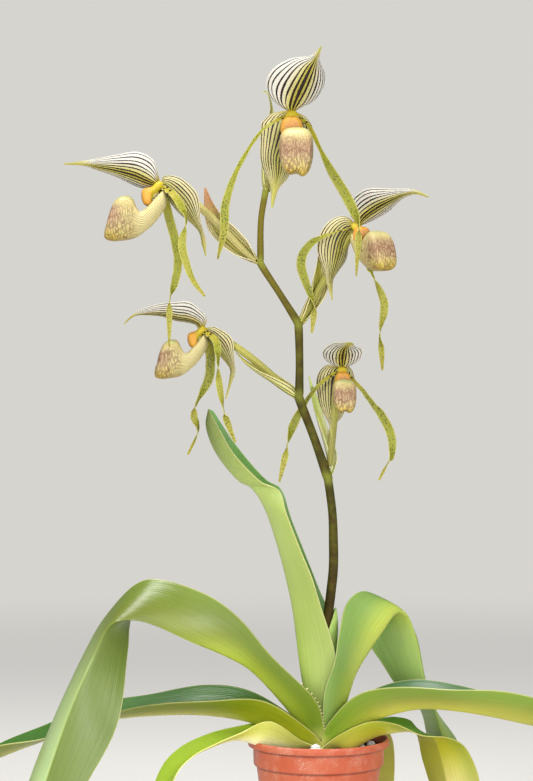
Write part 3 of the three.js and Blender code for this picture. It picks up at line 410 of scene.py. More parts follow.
# %% The leaves' stations
# Each station is a point on the keel, one on the near margin and one on the far margin, in millimetres.
LEAVES = {
    "leaf_9": {"side": 1, "clasp": 6.2, "stations": [
        ((11, 1, 124), (3, -7, 130), (3, 9, 129)), ((13, 2, 150), (3, -8, 155), (3, 10, 155)),
        ((15, 2, 175), (5, -8, 181), (5, 10, 180)), ((16.5, 1, 197), (9, -6, 198), (9, 8, 200)),
        ((16, 1, 210), (12, -3, 209), (11.5, 4, 211)), ((15, 1, 216), (14.2, 0, 215.5), (14.5, 2, 216)),
    ]},
    "leaf_2": {"side": -1, "clasp": 7.5, "stations": [
        ((-9, 0, 119), (7, -8, 120), (7, 12, 120)), ((-13, 0, 143), (11, -9, 146), (11, 17, 145)),
        ((-17.5, 0, 176), (12.6, -13, 178), (13, 21, 173)), ((-22, 0, 212), (3, -20, 216), (8, 23, 208)),
        ((-28, 1, 241), (-4.5, -24, 241), (0.5, 22, 230)), ((-36, 2, 271), (-17, -22, 268), (-11, 22, 262)),
        ((-46, 4, 300), (-28, -18, 296), (-23, 21, 291)), ((-57, 6, 317), (-33, -10, 316), (-32.5, 20, 315)),
        ((-70, 8, 325), (-49, -6, 324), (-46.5, 22, 325)),
        ((-87.5, 10, 347), (-73.5, -2, 348), (-70, 25, 354)),
        ((-96, 12, 369), (-89, 4, 375), (-88, 22, 380)),
        ((-94.6, 13, 384), (-94, 12.2, 384.8), (-93.6, 14, 384.8)),
    ]},
    "leaf_3": {"side": 1, "clasp": 8.8, "stations": [
        ((19, 0, 119), (3.4, -13, 121), (8, 14, 118)), ((25.5, 1, 139), (5.5, -17, 147), (18, 24, 143)),
        ((32, 4, 159), (13, -19, 172), (32, 34, 164)), ((43.5, 10, 179), (16.5, -13, 195), (49, 42, 184)),
        ((57.5, 18, 198), (23.5, 4, 219), (58, 50, 198)), ((69, 27, 210), (39.5, 18, 228), (52, 57, 198)),
        ((78.5, 36, 205), (61, 36, 216.5), (45, 54, 182)), ((86, 42, 184), (85, 54, 189), (57.5, 52, 162)),
        ((94, 50, 147), (93.5, 77, 145), (72, 63, 140)), ((104, 56, 118), (106.5, 84, 116), (92, 78, 118)),
        ((113, 60, 86), (127, 82, 84), (101, 78, 85)), ((119.7, 61, 55.7), (121, 62, 55.2), (119, 63, 55.2)),
    ]},
    "leaf_1": {"side": -1, "clasp": 10.1, "stations": [
        ((-17, -3, 115), (4, -13, 118), (3, 17, 116)), ((-30, -9, 133), (-4, -22, 143), (-14, 20, 141)),
        ((-56, -18, 163), (-40, -36, 180), (-45, 14, 172)),
        ((-80, -26, 178), (-66, -36, 209), (-74, 10, 194)),
        ((-109, -34, 191), (-94, -30, 228), (-104, 5, 207)),
        ((-141, -43, 207), (-132, -22, 241), (-142, -2, 212)),
        ((-161.5, -50, 210.5), (-154.5, -16, 237.5), (-156.5, -10, 213)),
        ((-175, -56, 205), (-179, -14, 211), (-160, -20, 202)),
        ((-186, -62, 183), (-196, -20, 183), (-160, -36, 182)),
        ((-206, -68, 137), (-221, -28, 131), (-166, -60, 127)),
        ((-225, -71, 81), (-242, -38, 76), (-190, -73, 81)),
        ((-234.5, -72, 49), (-248.5, -50, 43), (-211.5, -75, 46)),
        ((-242, -72, 14.5), (-243, -71, 14), (-241, -73, 14)),
    ]},
    "leaf_4": {"side": 1, "clasp": 11.4, "stations": [
        ((23, -4, 105), (7, -15, 120), (9, 14, 112)), ((50, -14, 122), (32, -27, 144), (41, 10, 143)),
        ((81, -21, 132), (71, -42, 154), (77, 4, 153)), ((114, -29, 132), (114, -52, 153.5), (120, -4, 150)),
        ((159, -37, 125), (160, -59, 150), (163, -11, 141)),
        ((208, -44, 113), (211, -64, 137), (215, -20, 127)),
        ((257, -48, 90), (263, -63, 110), (266, -28, 99)),
        ((307, -50, 49), (308, -52, 50.5), (308, -48, 50)),
    ]},
    "leaf_5": {"side": -1, "clasp": 12.7, "stations": [
        ((-20, -3, 105), (-9, -18, 115), (-10, 16, 114)), ((-57, 1, 117), (-48, -24, 139), (-53, 24, 140)),
        ((-95.5, 7, 123), (-92, -19, 140), (-96, 32, 145)),
        ((-144, 12, 122), (-141, -14, 135), (-144, 37, 138)),
        ((-190, 15, 116), (-187, -13, 123.5), (-192, 41, 129)),
        ((-236, 16, 100), (-230, -12, 107.5), (-235, 42, 110)),
        ((-281, 15, 82), (-277, -10, 98), (-281, 38, 92)), ((-324, 14, 58), (-318, -6, 72), (-324, 31, 64)),
        ((-362.5, 13, 28), (-361.5, 11.5, 29), (-362, 14.5, 29)),
    ]},
    "leaf_7": {"side": 1, "clasp": 14, "stations": [
        ((27, -12, 96.5), (18, -21, 111), (25, 16, 110)), ((48, -6, 106.2), (43, -24, 122), (53, 26, 117)),
        ((68, 9, 108.3), (65, -14, 119), (68, 36, 117)), ((85, 22, 107), (88, 2, 107), (82, 46, 112)),
        ((101, 35, 99), (112.5, 18, 102), (88, 52, 98)), ((107.5, 43, 82), (129, 30, 90), (92, 55, 79)),
        ((112.5, 47, 60), (141, 40, 61), (99, 57, 56)), ((117, 49, 36), (140, 46, 33.5), (106, 56, 33)),
        ((119.5, 50, 10), (121, 50, 10.5), (118, 51, 10)),
    ]},
    "leaf_6": {"side": -1, "clasp": 15.3, "stations": [
        ((-24, -12, 96.5), (-13.5, -21, 106), (-16, 9, 105.5)),
        ((-46, -25, 100.8), (-40.5, -34, 124), (-48, 6, 117)),
        ((-69, -29, 107.5), (-66, -42, 115), (-70, -1, 115)),
        ((-90, -32, 102.5), (-86, -47, 107.5), (-95, -12, 109.5)),
        ((-110, -36, 93), (-105, -52, 98.5), (-118, -20, 99)),
        ((-125.5, -41, 77), (-119, -56, 83), (-133.5, -27, 82.5)),
        ((-136, -44, 50), (-129, -55, 52.5), (-142.5, -34, 52)),
        ((-142, -44, 9), (-141, -45, 9.3), (-143, -43, 9.3)),
    ]},
    "leaf_8": {"side": 1, "clasp": 16.6, "behind": True, "stations": [
        ((15.5, 19, 102.5), (24, 15, 103.5), (7, 24, 103)), ((30, 38, 108), (42, 30, 110), (20, 46, 107)),
        ((46.5, 58, 106), (58, 48, 107.5), (34.5, 66, 104.5)), ((56, 74, 90), (67, 66, 91), (46, 80, 88)),
        ((58, 82, 62), (69, 78, 63), (48, 87, 61)), ((57.5, 84, 32), (66, 81, 33), (48.5, 87, 32)),
        ((56.5, 84, 8), (58, 83.5, 8.3), (55, 85, 8)),
    ]},
}
CROWN = {"x": 3.5, "shoulder": 94.5, "top": 103, "radius": 16, "neck": 4.5}
LEAF_THICKNESS = 0.9
print("leaves:", len(LEAVES))


# %% Where a leaf leaves the crown
def leaf_base(side, clasp, behind=False, **others):
    """Keel, near and far point at the crown; clasp is the radius at which the leaf wraps it."""
    slope = (clasp - CROWN["neck"]) / (CROWN["radius"] - CROWN["neck"])
    x, z = CROWN["x"], CROWN["top"] - slope * (CROWN["top"] - CROWN["shoulder"]) + 1.2
    if behind:
        turns = ((1.0, 0), (0.55, 1), (1.45, 1))
        return [(x + clasp * math.cos(a), clasp * math.sin(a), z + rise) for a, rise in turns]
    return [(x + side * clasp, 0.5, z), (x - side * 2, -clasp, z + 1), (x - side * 2, clasp, z + 1)]


# %% [markdown]
# Across the keel a real leaf bends in a tight curve, not in a crease, and that curve is what catches the
# light. Two soft ramps, one for each half, give it. A Bevel modifier on the keel would do nearly the same,
# but its width couldn't grow from the blade to the clasping base.

# %% One leaf across its three lines
KEEL_ROUNDNESS, CLASP_ROUNDNESS = 0.035, 0.3
BLADE_BULGE, CLASP_BULGE = 0.06, 0.15
LEAF_GRID = (26, 84)


def soft(x, roundness):
    """Follows x above 0 and stays near 0 below it, with a rounded turn; 1 stays 1."""
    rounded = (x + np.sqrt(x * x + roundness * roundness)) / 2
    return rounded / ((1 + np.sqrt(1 + roundness * roundness)) / 2)


def leaf_sheet(name, spec, waves):
    """The middle surface of one folded leaf, its upper face forwards; waves are count, phase and height."""
    stations = [leaf_base(**spec)] + spec["stations"]
    lines = [[station[k] for station in stations] for k in range(3)]
    count, phase, height = waves

    def place(u, v):
        u = u if spec["side"] < 0 else -u
        keel, near, far = [curve(line, v) for line in lines]
        # From the clasping base outwards the fold gets sharper and the halves get flatter.
        outwards = np.minimum(1, v * len(stations) / 3)
        roundness = CLASP_ROUNDNESS + (KEEL_ROUNDNESS - CLASP_ROUNDNESS) * outwards
        bulge = (CLASP_BULGE + (BLADE_BULGE - CLASP_BULGE) * outwards)[:, None]
        a, b = soft(-u, roundness)[:, None], soft(u, roundness)[:, None]
        to_near, to_far = near - keel, far - keel
        back = -(unit(to_near) + unit(to_far))
        near_arch = np.linalg.norm(to_near, axis=1, keepdims=True) * 4 * a * (1 - a)
        far_arch = np.linalg.norm(to_far, axis=1, keepdims=True) * 4 * b * (1 - b)
        fade = np.minimum(1, 6 * v * (1 - v)) * height
        ripple = fade * np.sin(2 * np.pi * (count * v + phase + 0.3 * np.sign(u))) * np.abs(u) ** 3
        return keel + to_near * a + to_far * b + back * (bulge * (near_arch + far_arch) + ripple[:, None])

    return placed_grid(name, *LEAF_GRID, place)


def mirror_uv(piece):
    """Turns the UV map's across direction round, so that U is 0 on the near margin of every leaf."""
    layer = piece.data.uv_layers["UVMap"]
    flat = np.zeros(len(layer.data) * 2, np.float32)
    layer.data.foreach_get("uv", flat)
    flat[0::2] = 1 - flat[0::2]
    layer.data.foreach_set("uv", flat)


def thick(piece, thickness, front, behind, offset=0, rim=1):
    """Gives a sheet its thickness, with one finish on its front face and another behind it."""
    coat(piece, front, behind)
    apply_modifier(
        piece, "SOLIDIFY", thickness=thickness * MM, offset=offset, use_even_offset=True,
        material_offset=1, material_offset_rim=rim, thickness_clamp=1.0,
    )


# %% [markdown]
# The skin of a leaf changes from a pale, yellow base to a greener blade. Across it, the tissue is yellower
# along the keel and greener towards the margin. The cut-looking margin is a thin cream line and the keel a
# thin pale one, both partly the leaf's own paler edge and partly a painted highlight where the rim catches
# the light. Faint veins run its whole length. It is waxy, so it has a soft shine.

# %% Node group for the leaf skin
given = new_group("leaf_skin", {
    "Base": srgb(150, 170, 60), "Middle": srgb(165, 185, 90), "Tip": srgb(160, 180, 90),
    "Keel": srgb(200, 215, 100), "Side": srgb(130, 160, 60), "Far Shade": srgb(140, 160, 80),
    "Margin": srgb(214, 206, 150), "Heart": srgb(206, 206, 108), "Base End": 0.3, "Tip Start": 0.75,
    "Keel Band": 0.3, "Keel Share": 0.5, "Keel End": 0.6, "Side Share": 0.0, "Far Shade Share": 0.0,
    "Margin Share": 0.38, "Gloss": 0.42,
})
u, v = across_and_along()
from_keel = off(u, 0.5)
fading = fall(v, times(given["Keel End"], 0.5), given["Keel End"])
keel_band = times(fading, fall(from_keel, 0.0, given["Keel Band"]), given["Keel Share"])
# A thin pale line on the keel: partly its own paler tissue, partly a painted highlight on its rim.
keel_line = times(fall(from_keel, 0.003, 0.014), plus(0.2, times(fading, 0.3)))
colour = coats(
    given["Base"],
    (ramp(v, 0.03, given["Base End"]), given["Middle"]),
    (ramp(v, given["Tip Start"], 1.0), given["Tip"]),
    (times(ramp(from_keel, 0.15, 0.46), given["Side Share"]), given["Side"]),
    # The far half of the outside in a darker colour: painted shade where that half turns away from the light.
    (times(ramp(u, 0.48, 0.52), given["Far Shade Share"]), given["Far Shade"]),
    (keel_band, given["Keel"]),
    (keel_line, given["Keel"]),
    (ramp(v, 0.01, 0.09, 0.85, 0.0), given["Heart"]),
    # The thin cream margin: partly its own pale edge, partly a painted highlight where it catches the light.
    (times(ramp(from_keel, 0.488, 0.498), given["Margin Share"]), given["Margin"]),
)
thin = vein_lines(46.0, 0.12, 4.0)
broad = vein_lines(13.0, 0.1, 2.0)
blotch = ramp(grain(22.0), 0.3, 0.7, -0.5, 0.5)
streaks = node("TexNoise", {"noise_dimensions": "1D"}, W=u, Scale=38.0, Detail=2.0)
streak = ramp(streaks.outputs["Fac"], 0.3, 0.7, -0.5, 0.5)
shade = weighted((thin, -0.045), (broad, -0.02), (blotch, 0.08), (streak, 0.09))
height = weighted((thin, -0.3), (broad, -0.35), (grain(1400.0, 1.0), 0.16))
rough = plus(given["Gloss"], times(blotch, 0.08))
close_group(Color=lit(colour, plus(shade, 1.0)), Roughness=rough, Height=height)


# %% The leaves' colours
# Base, middle, tip and keel of the outside, the same of the inside, and what else the outside changes.
# The far-half colour that leaf_1, leaf_3 and leaf_7 change is painted shade on the half turned from the
# light.
LEAF_COLOURS = {
    "leaf_1": (
        ((124, 150, 20), (102, 113, 32), (194, 222, 158), (186, 202, 70)),
        ((140, 165, 42), (86, 130, 60), (96, 140, 70), (150, 180, 90)),
        {
            "Side": (108, 132, 46), "Far Shade": (102, 120, 46), "Side Share": 0.5, "Far Shade Share": 1.0,
            "Margin Share": 0.35, "Base End": 0.36, "Tip Start": 0.56, "Keel Band": 0.4, "Keel Share": 0.8,
            "Keel End": 0.5,
        },
    ),
    "leaf_2": (
        ((114, 122, 36), (167, 185, 98), (78, 90, 38), (170, 188, 86)),
        ((110, 150, 56), (90, 134, 58), (124, 176, 92), (130, 170, 80)),
        {
            "Side": (146, 162, 78), "Side Share": 0.35, "Margin Share": 0.5, "Base End": 0.22,
            "Tip Start": 0.66,
        },
    ),
    "leaf_3": (
        ((154, 172, 68), (140, 168, 74), (152, 168, 70), (204, 214, 84)),
        ((140, 165, 60), (92, 140, 70), (110, 150, 80), (150, 180, 80)),
        {
            "Side": (118, 152, 76), "Far Shade": (138, 168, 92), "Side Share": 0.7, "Far Shade Share": 0.8,
            "Keel Band": 0.36, "Keel End": 0.8, "Keel Share": 0.75,
        },
    ),
    "leaf_4": (
        ((184, 216, 66), (150, 148, 52), (96, 92, 34), (214, 218, 80)),
        ((120, 160, 50), (36, 90, 2), (70, 118, 32), (110, 150, 40)),
        {"Side": (106, 142, 38), "Side Share": 0.8, "Keel Band": 0.36, "Keel End": 0.9, "Keel Share": 0.7},
    ),
    "leaf_5": (
        ((228, 224, 54), (130, 134, 4), (64, 86, 2), (212, 212, 66)),
        ((110, 140, 80), (61, 106, 30), (82, 126, 66), (100, 138, 70)),
        {"Side": (108, 126, 16), "Side Share": 0.6, "Keel Band": 0.4, "Keel End": 1.0, "Keel Share": 0.75},
    ),
    # The bases of leaf_6 and leaf_7 are pale, and their base colours are made brighter still: painted light
    # for the low front light on them. The near-white keel of leaf_6 is partly a painted highlight.
    "leaf_6": (
        ((248, 246, 162), (208, 212, 88), (180, 196, 60), (252, 250, 216)),
        ((160, 188, 60), (152, 180, 48), (182, 190, 60), (150, 182, 60)),
        {"Side": (182, 186, 66), "Side Share": 0.75, "Base End": 0.5, "Keel Band": 0.36, "Keel Share": 0.7},
    ),
    "leaf_7": (
        ((246, 230, 102), (192, 195, 30), (252, 234, 186), (226, 218, 112)),
        ((120, 160, 40), (82, 128, 20), (120, 150, 50), (120, 158, 50)),
        {
            "Side": (140, 158, 40), "Far Shade": (156, 158, 46), "Side Share": 0.6, "Far Shade Share": 0.8,
            "Tip Start": 0.6,
        },
    ),
    "leaf_8": (
        ((176, 176, 70), (178, 180, 74), (176, 176, 74), (200, 198, 96)),
        ((130, 150, 50), (112, 142, 48), (120, 140, 50), (140, 160, 60)),
        {},
    ),
    "leaf_9": (
        ((170, 198, 104), (184, 214, 112), (160, 194, 104), (180, 202, 110)),
        ((100, 144, 58), (104, 156, 58), (90, 140, 56), (104, 146, 58)),
        {},
    ),
}
OUTER_GLOSS, INNER_GLOSS = 0.37, 0.34


def leaf_finish(name, colours, gloss, changes=()):
    """The outside or the inside of one leaf."""
    values = {**dict(zip(("Base", "Middle", "Tip", "Keel"), colours)), **dict(changes)}
    values = {label: srgb(*value) if isinstance(value, tuple) else value for label, value in values.items()}
    values["Gloss"] = gloss
    return new_material(name, "leaf_skin", values, 0.0002, Subsurface_Weight=0.1, Subsurface_Scale=0.002)


# %% Make the nine leaves
LEAF_WAVES = {
    "leaf_1": (2.5, 0.1, 1.0), "leaf_2": (3, 0.4, 0.8), "leaf_3": (2.5, 0.7, 0.8), "leaf_4": (3, 0.2, 0.9),
    "leaf_5": (3, 0.5, 0.9), "leaf_6": (2, 0.3, 0.6), "leaf_7": (2, 0.8, 0.6), "leaf_8": (2, 0.5, 0.6),
    "leaf_9": (1.5, 0.2, 0.3),
}
for name, spec in LEAVES.items():
    outside, inside, changes = LEAF_COLOURS[name]
    sheet = leaf_sheet("blade_" + name[-1], spec, LEAF_WAVES[name])
    if spec["side"] > 0:
        mirror_uv(sheet)
    under = leaf_finish(name + "_outside", outside, OUTER_GLOSS, changes)
    upper = leaf_finish(name + "_inside", inside, INNER_GLOSS)
    thick(sheet, LEAF_THICKNESS, upper, under)
    finished(sheet, name)


# %% [markdown]
# Near the crown the forward margin of the great left leaf is set with small cream teeth. One tooth is a
# blunt little cone that leans towards the base, and its copies are joined to the blade, so they move with
# it. A particle system could set them too, but fifteen copies along a line are simpler to place.

# %% Set the teeth on the left leaf's margin
TOOTH_COUNT = 15
FIRST_TOOTH, LAST_TOOTH = 0.045, 0.18
tooth_cream, shader_inputs = plain_material("tooth_cream")
cream = coats(srgb(214, 208, 140), (grain(900.0), srgb(236, 228, 178)))
feed(shader_inputs["Base Color"], cream)
feed(shader_inputs["Roughness"], 0.5)
blade = bpy.data.objects["blade_1"]
margin = [leaf_base(**LEAVES["leaf_1"])[1]] + [station[1] for station in LEAVES["leaf_1"]["stations"]]
bpy.ops.mesh.primitive_cone_add(vertices=8, radius1=0.75 * MM, radius2=0.2 * MM, depth=2.2 * MM)
pattern = bpy.context.active_object
apply_modifier(pattern, "BEVEL", width=0.15 * MM, segments=2, limit_method="ANGLE")
teeth = []
for i in range(TOOTH_COUNT):
    share = np.array([FIRST_TOOTH + (LAST_TOOTH - FIRST_TOOTH) * i / (TOOTH_COUNT - 1)])
    spot, run = curve(margin, share)[0], direction(margin, share)[0]
    outward = unit(np.array([0.25, -0.75, 0.6]) - run * 0.35)
    tooth = own_copy(pattern)
    tooth.location = Vector(spot + outward * 0.5) * MM
    tooth.rotation_euler = Vector(outward).to_track_quat("Z", "Y").to_euler()
    tooth.scale = [random.uniform(0.7, 1.15)] * 3
    coat(tooth, tooth_cream)
    teeth.append(tooth)
bpy.data.objects.remove(pattern)
join_to(blade, teeth)
print("teeth:", TOOTH_COUNT, "faces of the blade:", len(blade.data.polygons))


# %% [markdown]
# ## The flowers
# Five flowers stand on the stem. Each has a striped dorsal sepal above, a second striped sepal that is two
# grown together behind the pouch, two long twisted petals, the pouch itself, and a column with a shield.
# All of them meet at the flower's heart. The stations of sepals, petals and bracts are measured from there.

# %% The flowers' stations
# A station is x, y, z from the heart and a half width, in millimetres; a face is where the inside looks.
# azimuth and tilt, in degrees, say where the pouch points; droop is how far its right lobe hangs lower.
# column_at is the column's place from the heart. An ovary's points are places on the plant, not from there.
FLOWERS = [
    {
        "heart": (20.1, 5, 418.2), "azimuth": -86, "tilt": -5, "size": 0.72, "droop": 0.8,
        "dorsal": {"face": (0, -0.6, -0.8), "curl": (-0.6, -0.6, -0.6, -0.6, -0.6, -0.5, -0.5), "stations": [
            (-0.2, -0.3, 1.1, 4), (0, -4, 5, 14.5), (0, -9, 9.5, 18), (0.3, -15, 13.5, 17),
            (1.4, -25, 18, 11), (4.2, -34, 20.5, 5), (7.6, -40, 22, 1.2),
        ]},
        "synsepal": {"face": (0.1, -0.98, -0.1), "stations": [
            (-2.2, 5, 2, 6), (-2.6, 5.8, -1, 16.5), (-4, 5.4, -11, 20), (-6, 4, -26, 15.5),
            (-6.8, 2, -37, 10), (-7.8, 0, -45, 4), (-8.5, -1, -52, 1.8), (-8.7, -2, -58, 0.8),
        ]},
        "left": {"stations": [
            (-2.2, 0, -0.2, 1.8), (-13.6, 1, -7.7, 1.5), (-22, 2.5, -15.4, 1.6), (-31, 4.5, -27.5, 2),
            (-41, 5.5, -46, 3.6), (-46, 4, -60.5, 2.6), (-49, 1, -76, 2.9), (-53.5, -2, -95.5, 0.9),
        ], "face": [
            (0.3, -0.7, 0.7), (0.3, -0.7, 0.7), (0.3, -0.8, 0.6), (0.3, -1, 0.3), (0, -1, 0), (1, -0.3, 0),
            (0.4, 1, 0), (-0.5, 1, 0),
        ]},
        "right": {"stations": [
            (2, 0, -1, 1.8), (10, -1, -9.4, 1.7), (18, -1, -18, 1.8), (26.5, 0, -29.5, 2.3),
            (34, 0, -39, 3.4), (42, -1, -56, 3.6), (42.2, -2, -73, 3), (38.7, -2, -79.5, 2.2),
            (31.4, -2, -94, 0.9),
        ], "face": [
            (-0.3, -1, 0.3), (-0.3, -1, 0.3), (-0.5, -0.7, 0.6), (-0.3, -1, 0.2), (-0.2, -1, 0.1),
            (0, -1, 0), (0.6, -0.7, 0), (1, 0.1, 0), (0.3, 1, 0),
        ]},
        "bract": {"face": (0.75, -0.6, 0), "curl": (2.6, 2.5, 2, 1.5, 1.3, 1.2, 1.2), "stations": [
            (-12, 2, -89.5, 5), (-11.5, 4, -83, 8.5), (-12, 5, -74, 9), (-14.5, 6.5, -62, 8),
            (-19, 8, -46, 6.5), (-24, 9, -28, 4.8), (-28.2, 9, -5, 0.7),
        ]},
        "ovary": [
            (20, 7.6, 417.2), (17.6, 11, 403), (14, 9, 384), (12.5, 7, 367), (11, 4.5, 350), (9.4, 3.5, 337),
        ],
    },
    {
        "heart": (-100, 12, 452.5), "azimuth": 184, "tilt": -2, "size": 0.87, "column_at": (1.6, 0, 0),
        "dorsal": {"face": (0.1, -0.4, -0.92), "stations": [
            (0.4, 0, 1.2, 3.5), (-4, -0.5, 6, 13), (-12, -1, 8.5, 18.5), (-22, -2, 10, 18.5),
            (-34, -3, 13, 13), (-50, -3, 13.3, 5.5), (-58, -3, 11.5, 2.5), (-66, -3, 5, 1),
        ]},
        "synsepal": {"face": (-0.6, -0.5, -0.5), "stations": [
            (1.5, 0, -0.5, 4), (4, 0, -3.5, 10.5), (8, 0, -8, 15), (15, 0, -17, 16.5), (22, 0, -27, 9),
            (25.5, 0, -35, 3.8), (24, -1, -45, 2.4), (20.5, -1, -59, 0.9),
        ]},
        "left": {"stations": [
            (1, 2, -1.8, 2.6), (4, 9, -9, 3.6), (7, 11, -19, 4.1), (7.3, 12, -30, 4.1), (5.5, 12, -43, 3.9),
            (-5, 11, -63, 2.6), (-6.7, 10, -74, 3.1), (-3, 9, -87, 2.4), (-12, 9, -107, 0.9),
        ], "face": [
            (-0.5, -1, 0.3), (-0.3, -1, 0), (0, -1, 0), (0, -1, 0), (0, -1, 0), (1, -0.2, 0), (0.2, 1, 0),
            (-1, 0.1, 0), (-0.2, -1, 0),
        ]},
        "right": {"stations": [
            (1.5, -2, -1, 2), (10.5, -10, -7, 2.8), (14, -14, -14.5, 3.2), (14.2, -16, -30, 2.6),
            (15.5, -17, -46, 2.9), (19.5, -17, -68, 2.4), (22.5, -17, -79, 2.8), (29.4, -17, -96, 0.9),
        ], "face": [
            (0, -1, 0.3), (0, -1, 0.3), (0.1, -1, 0), (1, -0.2, 0), (0.1, 1, 0), (-1, 0.1, 0), (0, -1, 0),
            (0.2, -1, 0),
        ]},
        "bract": {"face": (0.55, -0.3, 0.78), "curl": (2.8, 2.5, 2, 1.6, 1.3, 1, 1), "stations": [
            (82, -11.5, -58.5, 5), (77, -10.5, -56.5, 9), (70, -10, -52, 11), (59, -9, -44, 10),
            (47, -7, -36, 7), (38, -4.5, -29, 4.5), (29.5, -2, -19.5, 0.8),
        ]},
        "ovary": [
            (-97.6, 12.2, 452), (-84, 12, 446), (-66, 10, 435), (-47.5, 6, 420.5), (-30, 3, 405),
            (-19.5, 1, 396),
        ],
    },
    {
        "heart": (33.6, 12, 541), "azimuth": -57, "tilt": 5, "size": 0.91, "column_at": (-2, 1, 0),
        "dorsal": {"face": (0.25, -0.8, -0.55), "stations": [
            (0.8, -0.6, 1.7, 4), (5.5, -3, 8, 17.5), (15.5, -9, 15, 19.5), (26, -15, 20.5, 13.5),
            (37, -21, 25, 6), (48, -27, 26.5, 2.5), (58.5, -32, 22.5, 0.9),
        ]},
        "synsepal": {"face": (0.5, -0.85, -0.15), "stations": [
            (-1.5, 1.2, -0.5, 4), (-9, 1, -3, 15), (-14.5, -1, -12, 19.5), (-17.5, -3, -24, 18),
            (-20.5, -4, -36, 10.5), (-23, -4, -46, 4.5), (-22.5, -4, -55, 2), (-21.6, -4, -63, 0.9),
        ]},
        "left": {"stations": [
            (-2, -0.8, -0.4, 1.6), (-17, -5, -4.5, 1.4), (-29, -7, -9, 2), (-39.5, -9, -14.5, 3),
            (-47.2, -10, -25, 3.8), (-48, -11, -37, 3.9), (-42.3, -11, -54, 3), (-38.1, -11, -66, 2.6),
            (-37.8, -11, -77, 2.7), (-39.3, -11, -91.5, 0.9),
        ], "face": [
            (0.3, -0.2, 1), (0.2, -0.2, 1), (0.3, -0.8, 0.7), (0.3, -1, 0.3), (0.2, -1, 0), (0, -1, 0),
            (0.2, -1, 0), (1, -0.2, 0), (0.2, 1, 0), (0, 1, 0),
        ]},
        "right": {"stations": [
            (1.2, 2.2, -1.2, 2.6), (6.5, 10, -19, 3.4), (10.8, 10, -35, 3.4), (13.7, 8, -43, 2.8),
            (21.7, 3, -60.5, 3.3), (22.8, 0, -72, 3.4), (19.4, -1, -90, 2.3), (20.5, -2, -106, 2.6),
            (21.2, -2, -123, 0.9),
        ], "face": [
            (0.5, -1, 0), (0.3, -1, 0), (0.6, -0.8, 0), (1, -0.3, 0), (0.3, 1, 0), (0.1, 1, 0), (-1, 0.2, 0),
            (-0.3, -1, 0), (0, -1, 0),
        ]},
        "bract": {"face": (0.5, -0.85, 0.1), "curl": (2.7, 2.3, 1.7, 1.2, 1, 1, 1), "stations": [
            (-50, -9, -83, 6.5), (-45, -5, -73, 10.5), (-37.5, -1, -59, 11), (-34, 3, -46, 9),
            (-33, 4, -33, 4.5), (-32.3, 4, -20, 1.6), (-31.8, 4, -6, 0.7),
        ]},
        "ovary": [
            (32, 14.3, 539.4), (23.5, 16, 526.5), (13, 14, 509.5), (3, 9, 491), (-8, 4, 472.5),
            (-16, 1.5, 459),
        ],
    },
    {
        "heart": (-133.2, -35, 571.5), "azimuth": 180, "tilt": 0, "size": 0.98,
        "dorsal": {"face": (0.1, -0.7, -0.7), "stations": [
            (-1.1, 0, 1.1, 3), (-10, -1, 4, 17), (-22, -2, 9, 20.5), (-37, -2, 13, 14), (-53, -2, 16, 7.5),
            (-63, -2, 17.8, 3), (-80, -2, 18, 0.9),
        ]},
        "synsepal": {"face": (-0.54, -0.7, -0.46), "stations": [
            (1.2, 0, 0, 4), (4, 0, -0.8, 12), (9, 0, -6.5, 17.5), (18, 0, -17, 18), (27.5, 0, -29, 8),
            (33.5, 0, -38.5, 3.6), (36, 0, -49, 2.2), (38, 0, -58.5, 0.9),
        ]},
        "left": {"stations": [
            (0.5, 2.2, -1.5, 2.6), (3, 9, -10, 3.4), (6, 10, -21, 3.7), (13, 10, -49, 3.7),
            (14.6, 10, -64, 3.6), (12, 10, -80, 3.2), (7.6, 10, -93, 2.1), (7.3, 10, -108, 2.5),
            (7.2, 10, -134, 0.8),
        ], "face": [
            (-0.5, -1, 0), (-0.2, -1, 0), (0, -1, 0), (0, -1, 0), (0, -1, 0), (0.2, -1, 0), (1, -0.1, 0),
            (0.1, 1, 0), (0.6, 0.8, 0),
        ]},
        "right": {"stations": [
            (1.8, -2, -1.2, 2), (11.5, -10, -8, 3), (17.5, -14, -17, 3.4), (22, -17, -30, 2.6),
            (19, -18, -49, 3.4), (22.5, -19, -65, 3), (28.5, -19, -80, 2.6), (38, -19, -93, 0.9),
        ], "face": [
            (0, -1, 0.3), (0, -1, 0.3), (0.2, -1, 0), (1, -0.2, 0), (0.1, 1, 0), (-0.2, 1, 0),
            (-0.7, 0.8, 0), (-0.3, 1, 0),
        ]},
        "bract": {"face": (-0.1, -1, 0.2), "curl": (2.8, 2.4, 1.7, 1.4, 1.1, 0.8, 0.8), "stations": [
            (81.5, 35.6, -61.8, 5), (76, 35, -58, 9.5), (67, 33.5, -50.5, 12.5), (57.5, 31, -42, 13),
            (47, 27.5, -30.5, 10.5), (40.5, 24, -14.5, 4.8), (37, 20, 0.5, 0.8),
        ]},
        "ovary": [
            (-130.8, -34.2, 570.8), (-116, -28.5, 565.5), (-98, -20, 553), (-81, -12, 536.5),
            (-65, -6, 520.5), (-54.5, -2.5, 511.5),
        ],
    },
    {
        "heart": (-18.7, -28, 629.1), "azimuth": -92, "tilt": -5, "size": 1.02, "droop": 2.4,
        "column_at": (-4.2, 0, 2.2),
        "dorsal": {"face": (0.3, -0.85, -0.4), "stations": [
            (-4.5, -0.5, 5, 4), (-3, -4.5, 10, 22), (0, -9, 17, 30), (5, -16, 27, 28.5), (10, -22, 37, 20),
            (14.5, -26, 45, 6.5), (17.8, -29.5, 51.3, 1.8), (19.5, -31, 55.3, 0.8),
        ]},
        "synsepal": {"face": (0.05, -0.98, -0.15), "stations": [
            (-5, 5.5, 6, 5), (-5.8, 6.5, 0.5, 21), (-7.5, 7, -9, 27), (-12, 8.5, -22, 23), (-16, 8, -33, 17),
